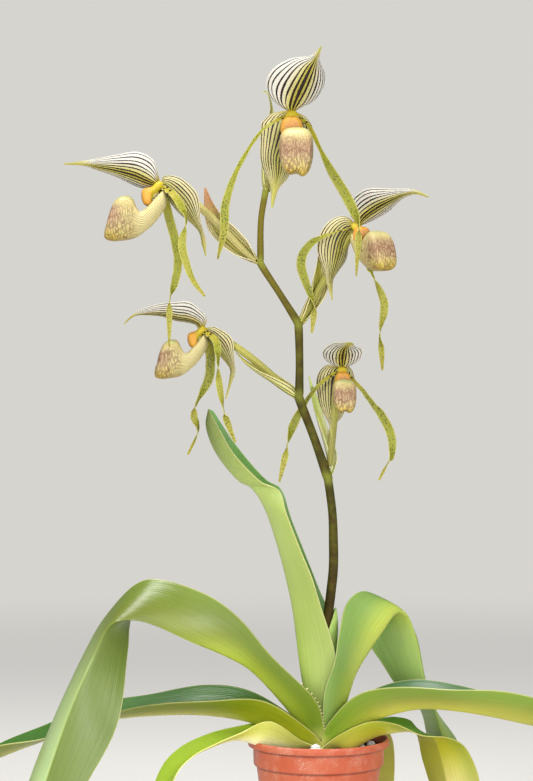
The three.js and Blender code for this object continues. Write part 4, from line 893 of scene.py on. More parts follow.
            (-16.5, 6, -46, 12), (-18.5, 4, -58, 4), (-21, 0, -75, 0.9),
        ]},
        "left": {"stations": [
            (-5.5, -0.2, 2.8, 2), (-18.5, -5, -3.5, 1.7), (-32.3, -8, -15, 1.8), (-49.5, -10, -43.5, 2.4),
            (-59.5, -11, -72, 3.5), (-61, -11, -95, 3.4), (-66.5, -11, -119, 0.9),
        ], "face": [
            (-0.3, -0.8, 0.5), (-0.4, -0.8, 0.5), (-0.6, -0.7, 0.4), (-0.7, -0.9, 0), (-0.2, -1, 0),
            (0.2, -1, 0), (0.8, -0.8, 0),
        ]},
        "right": {"stations": [
            (0.5, -0.2, 1, 2), (10, -4, -7.5, 2.1), (20, -7, -29, 2.6), (28.5, -8, -45.5, 3.7),
            (38.6, -8, -62, 4.2), (47, -8, -78, 4), (51.7, -8, -90, 2.6), (51, -8, -104, 2.9),
            (49.3, -8, -133, 0.8),
        ], "face": [
            (0.3, -0.8, 0.5), (0.4, -0.8, 0.4), (0.7, -0.7, 0.3), (0.3, -1, 0), (0, -1, 0), (-0.3, -1, 0),
            (-1, -0.3, 0), (-0.3, 1, 0), (-0.6, 0.8, 0),
        ]},
        "bract": {"face": (0.6, -0.75, 0), "curl": (2.8, 2.6, 2, 1.3, 1.2, 1.2, 1.2, 1.2), "stations": [
            (-26.5, 29, -60, 7), (-28, 32, -52, 8.5), (-28, 37, -38, 8.5), (-26, 40, -19, 7.5),
            (-23, 42, -2, 4.5), (-21.9, 42, 14, 1.9), (-24.3, 41, 25, 1.2), (-28.8, 40, 28.3, 0.6),
        ]},
        "ovary": [
            (-19, -25.4, 628.6), (-24.5, -17.5, 619), (-31, -10, 605.5), (-37, -4.5, 590.5),
            (-42, -1.5, 578.5), (-44.4, -0.5, 573.2),
        ],
    },
]
print("flowers:", len(FLOWERS))


# %% [markdown]
# A sepal or a petal is a strip along a curve in space. It could be a flat grid bent by a Curve modifier,
# but its face turns at another rate than its spine, so each row of the grid is set square to the spine.

# %% One strip along its spine
def strip_sheet(name, heart, spec, curl, grid, waves):
    """The middle surface of a sepal, petal or bract, its inner face forwards; curl bends its sides."""
    stations = np.array(spec["stations"], float)
    face = np.array(spec["face"], float)
    bends = spec.get("curl", [curl] * len(stations))
    count, phase, height = waves

    def place(u, v):
        tangent = direction(stations[:, :3], v)
        inner = curve(face, v) if face.ndim == 2 else np.tile(face, (len(v), 1))
        inner = unit(inner - tangent * dot(inner, tangent))
        sideways = np.cross(tangent, inner)
        half = np.maximum(0.4, curve(stations[:, 3], v))
        bend = curve(bends, v)
        out = half * np.sin(bend * u) / bend
        rise = half * (1 - np.cos(bend * u)) / bend
        calm = np.minimum(1, 8 * v * (1 - v)) * height
        rise = rise + calm * np.sin(2 * np.pi * (count * v + phase + 0.23 * np.sign(u))) * np.abs(u) ** 3
        spine = curve(stations[:, :3], v) + np.array(heart)
        return spine + sideways * out[:, None] + inner * rise[:, None]

    return placed_grid(name, *grid, place)


# What the strips of one kind share: the slot, the curl of the sides, the grid and the wall in mm.
SEPAL = {"slot": "sepal", "curl": -1.05, "grid": (28, 48), "wall": 0.75}
PETAL = {"slot": "petal", "curl": 0.25, "grid": (10, 90), "wall": 0.7}
BRACT = {"slot": "bract", "curl": 1.25, "grid": (20, 44), "wall": 0.7}
PHASE_STEP = 0.37


def make_strip(number, part, name, solid, finishes, waves, slot, curl, grid, wall):
    """One sepal, petal or bract of a flower, all done; waves are how many there are and how high."""
    flower = FLOWERS[number - 1]
    waves = (waves[0], number * PHASE_STEP, waves[1])
    strip = strip_sheet(f"{name}_{number}", flower["heart"], flower[part], curl, grid, waves)
    thick(strip, wall, *finishes)
    finished(strip, f"{solid}_{number}")


# %% [markdown]
# The studio light is brighter up here than on the leaves. So each flower colour is written as it looks in
# that light and made darker by one share, instead of guessing every colour of the tissue by itself.

# %% Colours of the flowers
FLOWER_SHADE = 0.66


def bloom(red, green, blue):
    """A flower's colour as it looks in the light, 0 to 255 a channel."""
    return (*[channel * FLOWER_SHADE for channel in srgb(red, green, blue)[:3]], 1.0)


def tissue(name, group, relief=0.0002, **values):
    """The finish of a sepal, petal or shield, which lets a little light through; a tuple is a colour."""
    values = {label: bloom(*value) if isinstance(value, tuple) else value for label, value in values.items()}
    return new_material(
        name, group, values, relief, Subsurface_Weight=0.1, Subsurface_Scale=0.0015, Specular_IOR_Level=0.35)


print("white of a sepal:", [round(channel, 2) for channel in bloom(236, 232, 214)[:3]])


# %% [markdown]
# The sepals' dark stripes are the tissue over their veins. They start close together at the heart, spread
# with the sepal and meet again at its tip, so a stripe is a lane of the UV map. They are broadest along the
# middle, where the ground between them is yellow-green, and finer on the white sides.

# %% Node group for striped sepals
given = new_group("sepal_stripes", {
    "Side": bloom(246, 241, 226), "Middle": bloom(224, 212, 110), "Core": bloom(176, 168, 40),
    "Tip": bloom(196, 190, 90), "Base": bloom(214, 190, 50), "Stripe": bloom(40, 14, 10), "Count": 13.0,
    "Strength": 1.0, "Broad": 0.47, "Fine": 0.31, "Middle Band": 0.6, "Tip Start": 0.7,
})
u, v = across_and_along()
from_middle = times(off(u, 0.5), 2.0)
middle = fall(from_middle, 0.1, given["Middle Band"])
ground = coats(
    given["Side"],
    (middle, given["Middle"]),
    (ramp(from_middle, 0.04, 0.2, 0.8, 0.0), given["Core"]),
    (ramp(v, given["Tip Start"], 0.92), given["Tip"]),
    (fall(v, 0.02, 0.12), given["Base"]),
)
veins = use_group("lengthwise_veins", Count=given["Count"], Wander=0.14)
width = plus(given["Fine"], times(middle, minus(given["Broad"], given["Fine"])))
width = times(width, plus(0.66, times(veins["Rank"], 0.6)), ramp(v, 0.62, 0.92, 1.0, 0.5))
width = plus(width, swing(grain(240.0), 0.2))
stripe = fall(minus(minus(1.0, veins["Line"]), width), -0.05, 0.06)
stripe = calc("MULTIPLY", stripe, times(fall(v, 0.7, 0.92), given["Strength"]), clamp=True)
dots = flat_cells(u, v, 44.0, 52.0)
dot_zone = times(ramp(v, 0.1, 0.2), fall(v, 0.4, 0.55), fall(from_middle, 0.16, 0.3), given["Strength"])
chosen = calc("GREATER_THAN", cell_share(dots, "Red"), 0.72)
dot_mask = times(fall(dots.outputs["Distance"], 0.2, 0.36), chosen, dot_zone)
colour = coats(ground, (calc("MAXIMUM", stripe, dot_mask), given["Stripe"]))
cells = grain(900.0, 1.0)
colour = lit(colour, ramp(cells, 0.3, 0.7, 0.95, 1.05))
height = weighted((stripe, -0.6), (cells, 0.2))
close_group(Color=colour, Roughness=ramp(cells, 0.2, 0.8, 0.44, 0.56), Height=height)


# %% [markdown]
# The petals are narrow ribbons that hang and twist. They are yellow-green with a thin pale margin. Tiny dark
# dots speckle them and thin out towards the heart, where a few bigger maroon spots stand instead.

# %% Node group for speckled petals
given = new_group("petal_specks", {
    "Base": bloom(200, 182, 30), "Middle": bloom(166, 168, 40), "Tip": bloom(190, 180, 62),
    "Speck": bloom(58, 54, 10), "Vein": bloom(122, 126, 24), "Margin": bloom(214, 210, 112), "Specks": 0.8,
})
u, v = across_and_along()
from_middle = times(off(u, 0.5), 2.0)
vein = vein_lines(5.0, 0.1, 3.0)
specks = node("TexVoronoi", Vector=own_space(), Scale=620.0)
patchy = ramp(grain(90.0), 0.35, 0.65, 0.6, 0.05)
speck = times(
    fall(specks.outputs["Distance"], 0.26, 0.46), calc("GREATER_THAN", cell_share(specks, "Green"), patchy),
    ramp(v, 0.14, 0.34, 0.15, 1.0),
)
spots = flat_cells(u, v, 1.6, 26.0)
spot = times(fall(spots.outputs["Distance"], 0.26, 0.36), fall(v, 0.09, 0.12))
colour = coats(
    given["Base"],
    (ramp(v, 0.04, 0.34), given["Middle"]),
    (ramp(v, 0.7, 1.0), given["Tip"]),
    (times(vein, 0.45), given["Vein"]),
    (times(speck, given["Specks"]), given["Speck"]),
    (ramp(from_middle, 0.72, 0.96, 0.0, 0.7), given["Margin"]),
    (spot, bloom(38, 12, 12)),
)
height = weighted((vein, -0.5), (speck, 0.2))
close_group(Color=colour, Roughness=ramp(grain(500.0), 0.3, 0.7, 0.4, 0.52), Height=height)


# %% Make the sepals and petals
green_sepal = {
    "Core": (188, 182, 78), "Side": (232, 220, 164), "Middle Band": 0.95, "Count": 14.0, "Broad": 0.4,
    "Fine": 0.34,
}
sepal = (
    tissue("sepal_inside", "sepal_stripes"),
    tissue("sepal_outside", "sepal_stripes", Middle=(220, 212, 140), Core=(200, 196, 100),
           Side=(232, 222, 204), Stripe=(62, 34, 32), Fine=0.34, Broad=0.46),
)
joined_sepal = (
    tissue("green_sepal_inside", "sepal_stripes", Middle=(208, 200, 112), Stripe=(50, 34, 14), **green_sepal),
    tissue("green_sepal_outside", "sepal_stripes", Middle=(206, 204, 112), Stripe=(84, 70, 30),
           Strength=0.85, **green_sepal),
)
petal = (
    tissue("petal_inside", "petal_specks"),
    tissue("petal_outside", "petal_specks", Base=(206, 194, 56), Middle=(186, 182, 64), Tip=(196, 186, 76),
           Specks=0.5),
)
for number in range(1, len(FLOWERS) + 1):
    make_strip(number, "dorsal", "hood", "dorsal_sepal", sepal, (2.5, 0.5), **SEPAL)
    make_strip(number, "synsepal", "apron", "synsepal", joined_sepal, (3, 0.8), **SEPAL)
    for side in ("left", "right"):
        make_strip(number, side, "ribbon_" + side, "petal_" + side, petal, (9, 0.35), **PETAL)


# %% [markdown]
# A bract stands under each flower. It clasps the foot of the ovary like a sheath and opens into a boat with
# a pointed tip. It is the same strip again, only rolled up tightly at its base, and its colour differs from
# flower to flower: fresh green below, pale with a flush of salmon on the fourth. Every bract is also made
# brighter than its own colour, painted light that makes up for the shade it stands in.

# %% Make the bracts
# Middle, side and tip of each bract, and how strong its stripes are.
# Each row is brighter than the bract's own colour: painted light for the shade the bract stands in.
BRACT_LOOKS = [
    ((244, 250, 124), (255, 255, 196), (228, 246, 140), 0.25),
    ((214, 214, 84), (238, 232, 156), (222, 216, 112), 0.95),
    ((224, 220, 88), (246, 234, 160), (240, 226, 150), 0.95),
    ((236, 230, 112), (250, 238, 180), (230, 172, 122), 0.95),
    ((208, 210, 90), (232, 230, 144), (224, 226, 134), 0.95),
]
for number, (middle, side, tip, stripes) in enumerate(BRACT_LOOKS, start=1):
    look = {
        "Middle": middle, "Core": middle, "Base": middle, "Side": side, "Tip": tip, "Stripe": (88, 70, 34),
        "Tip Start": 0.62, "Middle Band": 0.9, "Broad": 0.36, "Fine": 0.34, "Count": 8.0,
    }
    upper = tissue(f"bract_inside_{number}", "sepal_stripes", Strength=stripes * 0.6, **look)
    under = tissue(f"bract_outside_{number}", "sepal_stripes", Strength=stripes, **look)
    make_strip(number, "bract", "sheath", "bract", (upper, under), (2, 0.5), **BRACT)


# %% [markdown]
# The pouch is the third petal, blown up into a slipper. Its back part is a channel with rolled-in margins,
# its front part a closed toe with two soft lobes, and its mouth opens upwards between them. It could be cut
# out of a closed form with a Boolean, but a sheet rolled round the rings keeps an even wall and a clean lip.

# %% The pouch as a sheet rolled round its rings
# x forwards and z up from the heart, in mm: lowest x, z, highest x, z, half width, half opening in degrees.
POUCH_RINGS = [
    (-5, -7, -1, -1.6, 3.6, 60), (-6, -15, 3, -4.5, 7.4, 50), (-1, -24, 10, -11, 9.4, 50),
    (6, -33, 15.5, -14.5, 11, 58), (12.6, -38.6, 19, -13, 12, 66), (17, -42, 21.5, -11, 12.8, 40),
    (22, -44.6, 23.2, -9.4, 13.4, 20), (29, -46.4, 27, -8.4, 13.8, 0), (35.5, -47, 31, -8.6, 13.8, 0),
    (39.2, -47.4, 34.4, -9.8, 13.3, 0), (43, -47, 37.6, -12.4, 12.6, 0), (46, -46, 40.4, -17, 11.4, 0),
    (47.6, -43.4, 43, -24, 8, 0), (46, -36, 46, -36, 0, 0),
]
FIRST_CLOSED_RING = 7
POUCH_GRID = (64, 60)
POUCH_WALL = 0.9
POUCH_REACH, POUCH_DEPTH, LIP_BELOW_HEART = 48, 40, 8


def in_flower(points, flower):
    """Takes points from a flower's own frame, x along its pouch, to their place on the plant."""
    azimuth, tilt = math.radians(flower["azimuth"]), math.radians(flower["tilt"])
    ahead = points[:, 0] * math.cos(tilt) - points[:, 2] * math.sin(tilt)
    up = points[:, 0] * math.sin(tilt) + points[:, 2] * math.cos(tilt)
    x = ahead * math.cos(azimuth) - points[:, 1] * math.sin(azimuth)
    y = ahead * math.sin(azimuth) + points[:, 1] * math.cos(azimuth)
    return np.column_stack([x, y, up]) * flower["size"] + np.array(flower["heart"])


def pouch_sheet(name, flower):
    """The pouch's outer surface, from the heart to the middle of its toe."""
    rings = np.array(POUCH_RINGS, float)

    def place(u, v):
        low_x, low_z, high_x, high_z, half, opening = curve(rings, v).T
        gap = np.radians(np.clip(opening, 0, 110))
        gap = np.where(v * (len(rings) - 1) >= FIRST_CLOSED_RING, 0, gap)
        angle = np.pi - u * (np.pi - gap)
        # The margins of the mouth roll inwards and the rings of the body grow boxy, most of all on top.
        inwards = np.clip((np.abs(u) - 0.78) / 0.22, 0, 1) ** 2 * np.clip(gap / 0.7, 0, 1)
        body = np.clip((v - 0.4) / 0.25, 0, 1)
        up, side = np.cos(angle), np.sin(angle)
        boxy = 1 - body * np.where(up > 0, 0.46, 0.3)
        up, side = np.sign(up) * np.abs(up) ** boxy, np.sign(side) * np.abs(side) ** boxy
        x = (low_x + high_x) / 2 + (high_x - low_x) / 2 * up
        z = (low_z + high_z) / 2 + (high_z - low_z) / 2 * up
        y = np.maximum(half, 0) * side * (1 - 0.3 * inwards) * (1 - 0.06 * body * np.maximum(-up, 0))
        z = z - 1.6 * inwards
        # Underneath, a groove parts the toe into two lobes, and one of them droops.
        front = np.clip((v - 0.5) / 0.3, 0, 1) * np.clip(-np.cos(angle), 0, 1)
        z = z + 3.2 * front * np.exp(-((y / 2.8) ** 2))
        z = z - flower.get("droop", 0) * front * np.clip(y / 6, 0, 1)
        return in_flower(np.column_stack([x, y, z]), flower)

    piece = placed_grid(name, *POUCH_GRID, place)
    in_edit_mode(piece, lambda: bpy.ops.mesh.remove_doubles(threshold=0.02 * MM))
    return piece


def drape_uv(piece, flower):
    """A second UV map that follows a pouch's height: U forwards and V up, 0 at its lowest, 1 at the lip."""
    azimuth = math.radians(flower["azimuth"])
    away = (vertex_places(piece) / MM - np.array(flower["heart"])) / flower["size"]
    ahead = away[:, 0] * math.cos(azimuth) + away[:, 1] * math.sin(azimuth)
    up = away[:, 2] - ahead * math.sin(math.radians(flower["tilt"]))
    corners = np.zeros(len(piece.data.loops), int)
    piece.data.loops.foreach_get("vertex_index", corners)
    lowest = POUCH_DEPTH + LIP_BELOW_HEART
    pairs = np.column_stack([ahead / POUCH_REACH, (up + lowest) / POUCH_DEPTH])[corners]
    layer = piece.data.uv_layers.new(name="Drape")
    layer.data.foreach_set("uv", pairs.astype(np.float32).ravel())


# %% [markdown]
# The pouch is cream on its channel, where thin lines run lengthwise. Its body is pale yellow-green at the
# lip, flushed mauve below it and golden towards the toe, under a net of brown veins that hangs down like
# drops. The net is a Voronoi pattern drawn out along Z, so it hangs the same way on all five pouches.

# %% Node group for the netted pouch
given = new_group("pouch_net", {
    "Channel": bloom(248, 234, 166), "Body": bloom(230, 212, 142), "Toe": bloom(214, 186, 76),
    "Lip": bloom(214, 212, 138), "Net": bloom(124, 80, 52), "Flush": bloom(188, 146, 116), "Strength": 0.8,
})
ahead, rise = across_and_along("Drape")
high = plus(rise, swing(grain(140.0), 0.2))
flush_zone = times(ramp(high, 0.16, 0.52), fall(high, 0.58, 0.94), ramp(ahead, 0.55, 0.85, 0.0, 0.85))
colour = coats(
    given["Channel"],
    (ramp(ahead, 0.3, 0.5), given["Body"]),
    (times(fall(high, 0.05, 0.4), ramp(ahead, 0.45, 0.9)), given["Toe"]),
    (flush_zone, given["Flush"]),
    (times(ramp(high, 0.82, 0.98), ramp(ahead, 0.4, 0.55), 0.85), given["Lip"]),
)
place = own_space()
shake = node("TexNoise", Vector=place, Scale=150.0, Detail=1.0)
shaken = node("VectorMath", {"operation": "SCALE"}, Vector=shake.outputs["Color"], Scale=0.004)
moved = node("VectorMath", {"operation": "ADD"}, Vector=place)
feed(moved.inputs[1], shaken.outputs["Vector"])
drawn = node("Mapping", Vector=moved.outputs["Vector"], Scale=(1, 1, 0.25))
net = node("TexVoronoi", {"feature": "DISTANCE_TO_EDGE"}, Vector=drawn.outputs["Vector"], Scale=460.0)
net_zone = times(ramp(ahead, 0.34, 0.52), ramp(high, 0.62, 0.92, 1.0, 0.12))
net_mask = times(fall(net.outputs["Distance"], 0.02, 0.2), net_zone, ramp(grain(120.0), 0.3, 0.7, 0.6, 1.0))
channel_lines = times(vein_lines(26.0, 0.3, 3.0), ramp(ahead, 0.45, 0.8, 0.6, 0.0))
dark = calc("MAXIMUM", times(net_mask, given["Strength"]), channel_lines)
rough = ramp(grain(400.0), 0.3, 0.7, 0.36, 0.5)
height = weighted((dark, -0.6), (grain(700.0), 0.3))
close_group(Color=coats(colour, (dark, given["Net"])), Roughness=rough, Height=height)


# %% Make the five pouches
pouch_outside = tissue("pouch_outside", "pouch_net", 0.0004)
pouch_inside = new_material("pouch_inside", "pouch_net", {
    "Channel": bloom(222, 206, 120), "Body": bloom(206, 190, 96), "Toe": bloom(190, 160, 60), "Strength": 0.5,
})
for number, flower in enumerate(FLOWERS, start=1):
    slipper = pouch_sheet(f"slipper_{number}", flower)
    drape_uv(slipper, flower)
    thick(slipper, POUCH_WALL * flower["size"], pouch_outside, pouch_inside, offset=-1, rim=0)
    finished(slipper, f"pouch_{number}")


# %% [markdown]
# The column is the flower's centre. It leaves the heart as a short yellow neck and ends in a broad shield,
# peach-coloured and domed, that hangs over the mouth of the pouch. A UV sphere stretched to its shape would
# do for the shield alone, but rings along one axis make neck and shield together.

# %% Round pieces along an axis
ROD_ROWS = 400
ROD_END = 0.02


def closed_tube(name, size, place):
    """A grid rolled into a closed skin: u goes round, v goes along, and both ends are drawn to a point."""
    piece = placed_grid(name, *size, place)
    in_edit_mode(
        piece, lambda: bpy.ops.mesh.remove_doubles(threshold=0.004 * MM),
        lambda: bpy.ops.mesh.normals_make_consistent(inside=False),
    )
    return piece


def rod_place(points, radii, ribs=(0, 0.0)):
    """Where the skin of a rod lies; ribs is how many run along it and how high they stand."""
    row_t = np.linspace(0, 1, ROD_ROWS)
    tangents = direction(points, row_t)
    sides = np.zeros_like(tangents)
    side = np.array([0.0, 1.0, 0.0])
    for i, tangent in enumerate(tangents):
        side = side - tangent * float(side @ tangent)
        side = side / np.linalg.norm(side)
        sides[i] = side
    count, rise = ribs

    def place(u, v):
        inner_v = np.clip((v - ROD_END) / (1 - 2 * ROD_END), 0, 1)
        end = np.clip(np.minimum(v, 1 - v) / ROD_END, 0, 1)
        row = np.clip((inner_v * (ROD_ROWS - 1)).round().astype(int), 0, ROD_ROWS - 1)
        angle = np.pi * u
        other = np.cross(tangents[row], sides[row])
        radius = curve(radii, inner_v) * (1 + rise * np.cos(count * angle))
        radius = radius * np.where(end < 1, np.sqrt(np.maximum(0, 1 - (1 - end) ** 2)), 1)
        ring = sides[row] * np.cos(angle)[:, None] + other * np.sin(angle)[:, None]
        lead = np.where(v < 0.5, -1, 1) * (1 - end) * curve(radii, inner_v) * 0.3
        return curve(points, inner_v) + ring * radius[:, None] + tangents[row] * lead[:, None]

    return place


# %% Node group for the column and the ovaries
given = new_group("soft_flesh", {
    "Back": bloom(228, 204, 52), "Front": bloom(246, 180, 70), "Change": 0.48, "Face": bloom(226, 160, 104),
    "Face Start": 0.84, "Lines": 0.0, "Line Colour": bloom(104, 88, 30),
})
u, v = across_and_along()
along_it = plus(v, swing(grain(320.0), 0.12))
front = ramp(along_it, minus(given["Change"], 0.1), plus(given["Change"], 0.1))
face = ramp(along_it, given["Face Start"], plus(given["Face Start"], 0.08))
line = times(vein_lines(12.0, 0.12, 2.0), given["Lines"])
colour = coats(
    given["Back"], (front, given["Front"]), (times(face, 0.6), given["Face"]), (line, given["Line Colour"]))
fuzz = grain(1100.0, 1.0)
height = weighted((fuzz, 0.5), (line, -0.6))
close_group(Color=colour, Roughness=ramp(fuzz, 0.3, 0.7, 0.45, 0.6), Height=height)


# %% The column's neck and shield
# x, z of the ring's middle, its half width and half height, from the heart to the shield's face.
COLUMN_RINGS = [
    (-2.6, 0.4, 2.8, 2.4), (0, 0.4, 5, 4), (3, -1.2, 5.6, 4.6), (5.4, -3.8, 5.8, 5.2), (6.8, -6.6, 7.2, 6.4),
    (8.2, -8.4, 8.6, 7.4), (10.4, -9.2, 9, 7.8), (12.8, -9.4, 8.2, 7.2), (14.6, -9.4, 6.4, 5.8),
    (15.6, -9.4, 3.6, 3.2),
]
LEAN = 0.1
COLUMN_END = 0.04


def column_skin(name, flower):
    """The column as one closed skin: a stout neck that opens into a shield leaning over the pouch."""
    rings = np.array(COLUMN_RINGS, float)

    def place(u, v):
        inner_v = np.clip((v - COLUMN_END) / (1 - 2 * COLUMN_END), 0, 1)
        end = np.clip(np.minimum(v, 1 - v) / COLUMN_END, 0, 1)
        x, z, half, tall = curve(rings, inner_v).T
        angle = np.pi * u
        shield = np.clip((inner_v - 0.4) / 0.2, 0, 1)
        up, side = np.cos(angle), np.sin(angle)
        # The shield is a little square, wider below, and has a groove down its upper side.
        square = 1 + 0.12 * shield * np.sin(2 * angle) ** 2
        taper = 1 - 0.16 * shield * up
        groove = 0.7 * shield * np.exp(-((side / 0.16) ** 2)) * np.clip(up, 0, 1)
        y = half * side * square * taper * end
        rise = tall * up * square * end - groove * end
        x = x + np.where(v > 0.5, 0.5, -0.5) * (1 - end) + LEAN * shield * rise
        return in_flower(np.column_stack([x, y, z + rise]), flower)

    return closed_tube(name, (40, 44), place)


# %% Make the five columns
# The stigma hangs under the neck, between the shield and the channel of the pouch.
STIGMA_POINTS = [(3.2, 0, -3), (4.2, 0, -6), (4.9, 0, -8.6), (5.2, 0, -10.8)]
STIGMA_RADII = np.array([2.6, 2.7, 2.3, 1.4])
shield_flesh = tissue("shield_flesh", "soft_flesh")
stigma_flesh = tissue("stigma_flesh", "soft_flesh", Back=(226, 196, 60), Front=(244, 236, 176), Change=0.4,
                      Face=(244, 236, 176))
for number, flower in enumerate(FLOWERS, start=1):
    middle = np.array(flower["heart"]) + np.array(flower.get("column_at", (0, 0, 0)))
    seat = {**flower, "heart": middle}
    shield = column_skin(f"shield_{number}", seat)
    coat(shield, shield_flesh)
    points = in_flower(np.array(STIGMA_POINTS, float), seat)
    stigma = closed_tube(f"stigma_{number}", (20, 30), rod_place(points, STIGMA_RADII * flower["size"]))
    coat(stigma, stigma_flesh)
    join_to(shield, [stigma])
    finished(shield, f"column_{number}")


# %% [markdown]
# Behind each flower the ovary looks like a stout, ribbed flower stalk. Its ribs are made by the same rings
# as the rod, with a radius that rises and falls six times round.

# %% Make the five ovaries
OVARY_RADII = [2.4, 3, 3.3, 3.2, 2.9, 2.6]
OVARY_RIBS = (6, 0.06)
# The fourth ovary is cream, and its colour is made brighter still: painted light for the shade it stands in.
OVARY_COLOURS = [(186, 182, 78), (204, 198, 92), (196, 190, 78), (242, 228, 138), (196, 190, 84)]
for number, (flower, tone) in enumerate(zip(FLOWERS, OVARY_COLOURS), start=1):
    ovary_flesh = new_material(f"ovary_flesh_{number}", "soft_flesh", {
        "Back": bloom(*tone), "Front": bloom(*[channel * 0.9 for channel in tone]), "Change": 0.5,
        "Face Start": 2.0, "Lines": 0.5,
    })
    stalk = closed_tube(f"stalk_{number}", (36, 60), rod_place(flower["ovary"], OVARY_RADII, OVARY_RIBS))
    coat(stalk, ovary_flesh)
    finished(stalk, f"ovary_{number}")


# %% [markdown]
# ## The flower stem
# One dark olive stem carries all the flowers. It bends a little at every flower and is slightly swollen
# and paler there, and its young top is greener. A fine grain stands for its short, stiff hairs.

# %% Make the flower stem
STEM_POINTS = [
    (3.8, 1, 103.8), (4.5, 1, 130), (6, 1, 171), (7.4, 1, 202), (10.4, 0, 228), (12.6, 0, 250),
    (12.6, 0, 273), (11.7, 0, 297), (8.1, 0, 325), (7, 0, 329), (-4, 0, 361), (-16.5, 0, 394),
    (-16.4, 0, 400), (-16.2, 0, 426), (-17, 0, 455), (-18.6, 0, 460), (-33, 0, 483), (-49, 0, 508),
    (-49.4, 0, 514), (-49, 0, 545), (-45, 0, 571),
]
STEM_RADII = [
    3.6, 3.8, 4, 4.1, 4.1, 4, 3.9, 3.6, 3.7, 4.1, 3.6, 3.9, 3.7, 3.3, 3.6, 3.5, 2.8, 3.1, 2.9, 2.6, 2.8,
]
STEM_RIBS = (5, 0.015)
STEM_JOINTS = [(326, 0.6), (396, 0.4), (457, 0.5), (510, 0.6), (569, 0.9)]
given = new_group("stem_skin", {
    "Dark": srgb(52, 46, 8), "Light": srgb(84, 82, 16), "Flush": srgb(66, 32, 12),
    "Young": srgb(116, 104, 28), "Joint": srgb(136, 142, 52),
})
down = grain(1500.0, 2.0, (1, 1, 0.3))
level = node("SeparateXYZ", Vector=own_space()).outputs["Z"]
colour = coats(
    given["Dark"],
    (ramp(grain(120.0), 0.3, 0.75, 0.1, 0.9), given["Light"]),
    (ramp(grain(160.0), 0.5, 0.75, 0.0, 0.4), given["Flush"]),
    (ramp(down, 0.55, 0.75, 0.0, 0.2), srgb(116, 100, 46)),
    (ramp(level, 0.13, 0.3, 0.6, 0.0), given["Flush"]),
    (ramp(level, 0.4, 0.56, 0.0, 0.85), given["Young"]),
    *bands(level, STEM_JOINTS, 0.0, 0.009, given["Joint"]),
)
close_group(Color=colour, Roughness=ramp(down, 0.3, 0.7, 0.6, 0.78), Height=down)
stem = closed_tube("stem", (28, 400), rod_place(STEM_POINTS, STEM_RADII, STEM_RIBS))
coat(stem, new_material("stem_skin", "stem_skin", relief=0.0004, Specular_IOR_Level=0.2))
finished(stem, "flower_stem")


# %% [markdown]
# ## Pot, bark and perlite
# The pot is thin moulded plastic in terracotta brown: a rolled lip, a collar below it, a step, and a body
# that narrows to its foot. It is turned round its axis from half an outline with the spin operator. A
# cylinder with loop cuts would do too, but the outline holds every radius of the mould at once.

# %% Turn a piece from its outline
def turned(name, outline, steps):
    """Spins an outline of (radius, height), in mm, once round the Z axis."""
    bpy.ops.mesh.primitive_plane_add(size=1)
    piece = bpy.context.active_object
    piece.name = name
    in_edit_mode(piece, lambda: bpy.ops.mesh.delete(type="VERT"))
    points = [(r * MM, 0, z * MM) for r, z in outline]
    piece.data.from_pydata(points, [(i, i + 1) for i in range(len(points) - 1)], [])
    piece.data.update()
    in_edit_mode(
        piece,
        lambda: bpy.ops.mesh.spin(steps=steps, angle=2 * math.pi, center=(0, 0, 0), axis=(0, 0, 1)),
        lambda: bpy.ops.mesh.select_all(action="SELECT"),
        lambda: bpy.ops.mesh.remove_doubles(threshold=0.01 * MM),
        lambda: bpy.ops.mesh.normals_make_consistent(inside=False),
    )
    return piece


# %% Make the pot
POT_OUTLINE = [
    (0, 0), (40.4, 0), (41.4, 0.3), (42, 1.2), (44.6, 20), (47.4, 42), (50.2, 63), (52.6, 80.6), (52.8, 81.8),
    (53.4, 82.5), (54.6, 82.9), (55.1, 83.6), (55.3, 85), (55.8, 98.2), (56.2, 98.9), (59, 99),
    (59.6, 99.2), (60, 99.9), (60, 103.6), (59.8, 104.5), (59.2, 105), (58.2, 105), (57.6, 104.7),
    (56.6, 102), (54.2, 98.4), (54, 97), (53.6, 84), (53.2, 83), (51.4, 81.6), (51, 80.6), (40.2, 2.8),
    (39.4, 2.2), (0, 2.2),
]
DRAINS, DRAIN_RADIUS, DRAIN_CIRCLE = 6, 4, 28
# Height in mm and strength of two dark rings: painted shade under the lip and at the step, where they
# overhang.
PAINTED_SHADE_LINES = [(98.2, 0.6), (82.4, 0.6)]
pot_body = turned("pot_body", POT_OUTLINE, 144)
for i in range(DRAINS):
    angle = 2 * math.pi * i / DRAINS
    spot = (DRAIN_CIRCLE * MM * math.cos(angle), DRAIN_CIRCLE * MM * math.sin(angle), MM)
    bpy.ops.mesh.primitive_cylinder_add(vertices=32, radius=DRAIN_RADIUS * MM, depth=8 * MM, location=spot)
    drill = bpy.context.active_object
    apply_modifier(pot_body, "BOOLEAN", operation="DIFFERENCE", object=drill, solver="EXACT")
    bpy.data.objects.remove(drill)
apply_modifier(
    pot_body, "BEVEL", width=0.25 * MM, segments=2, limit_method="ANGLE", angle_limit=math.radians(38))

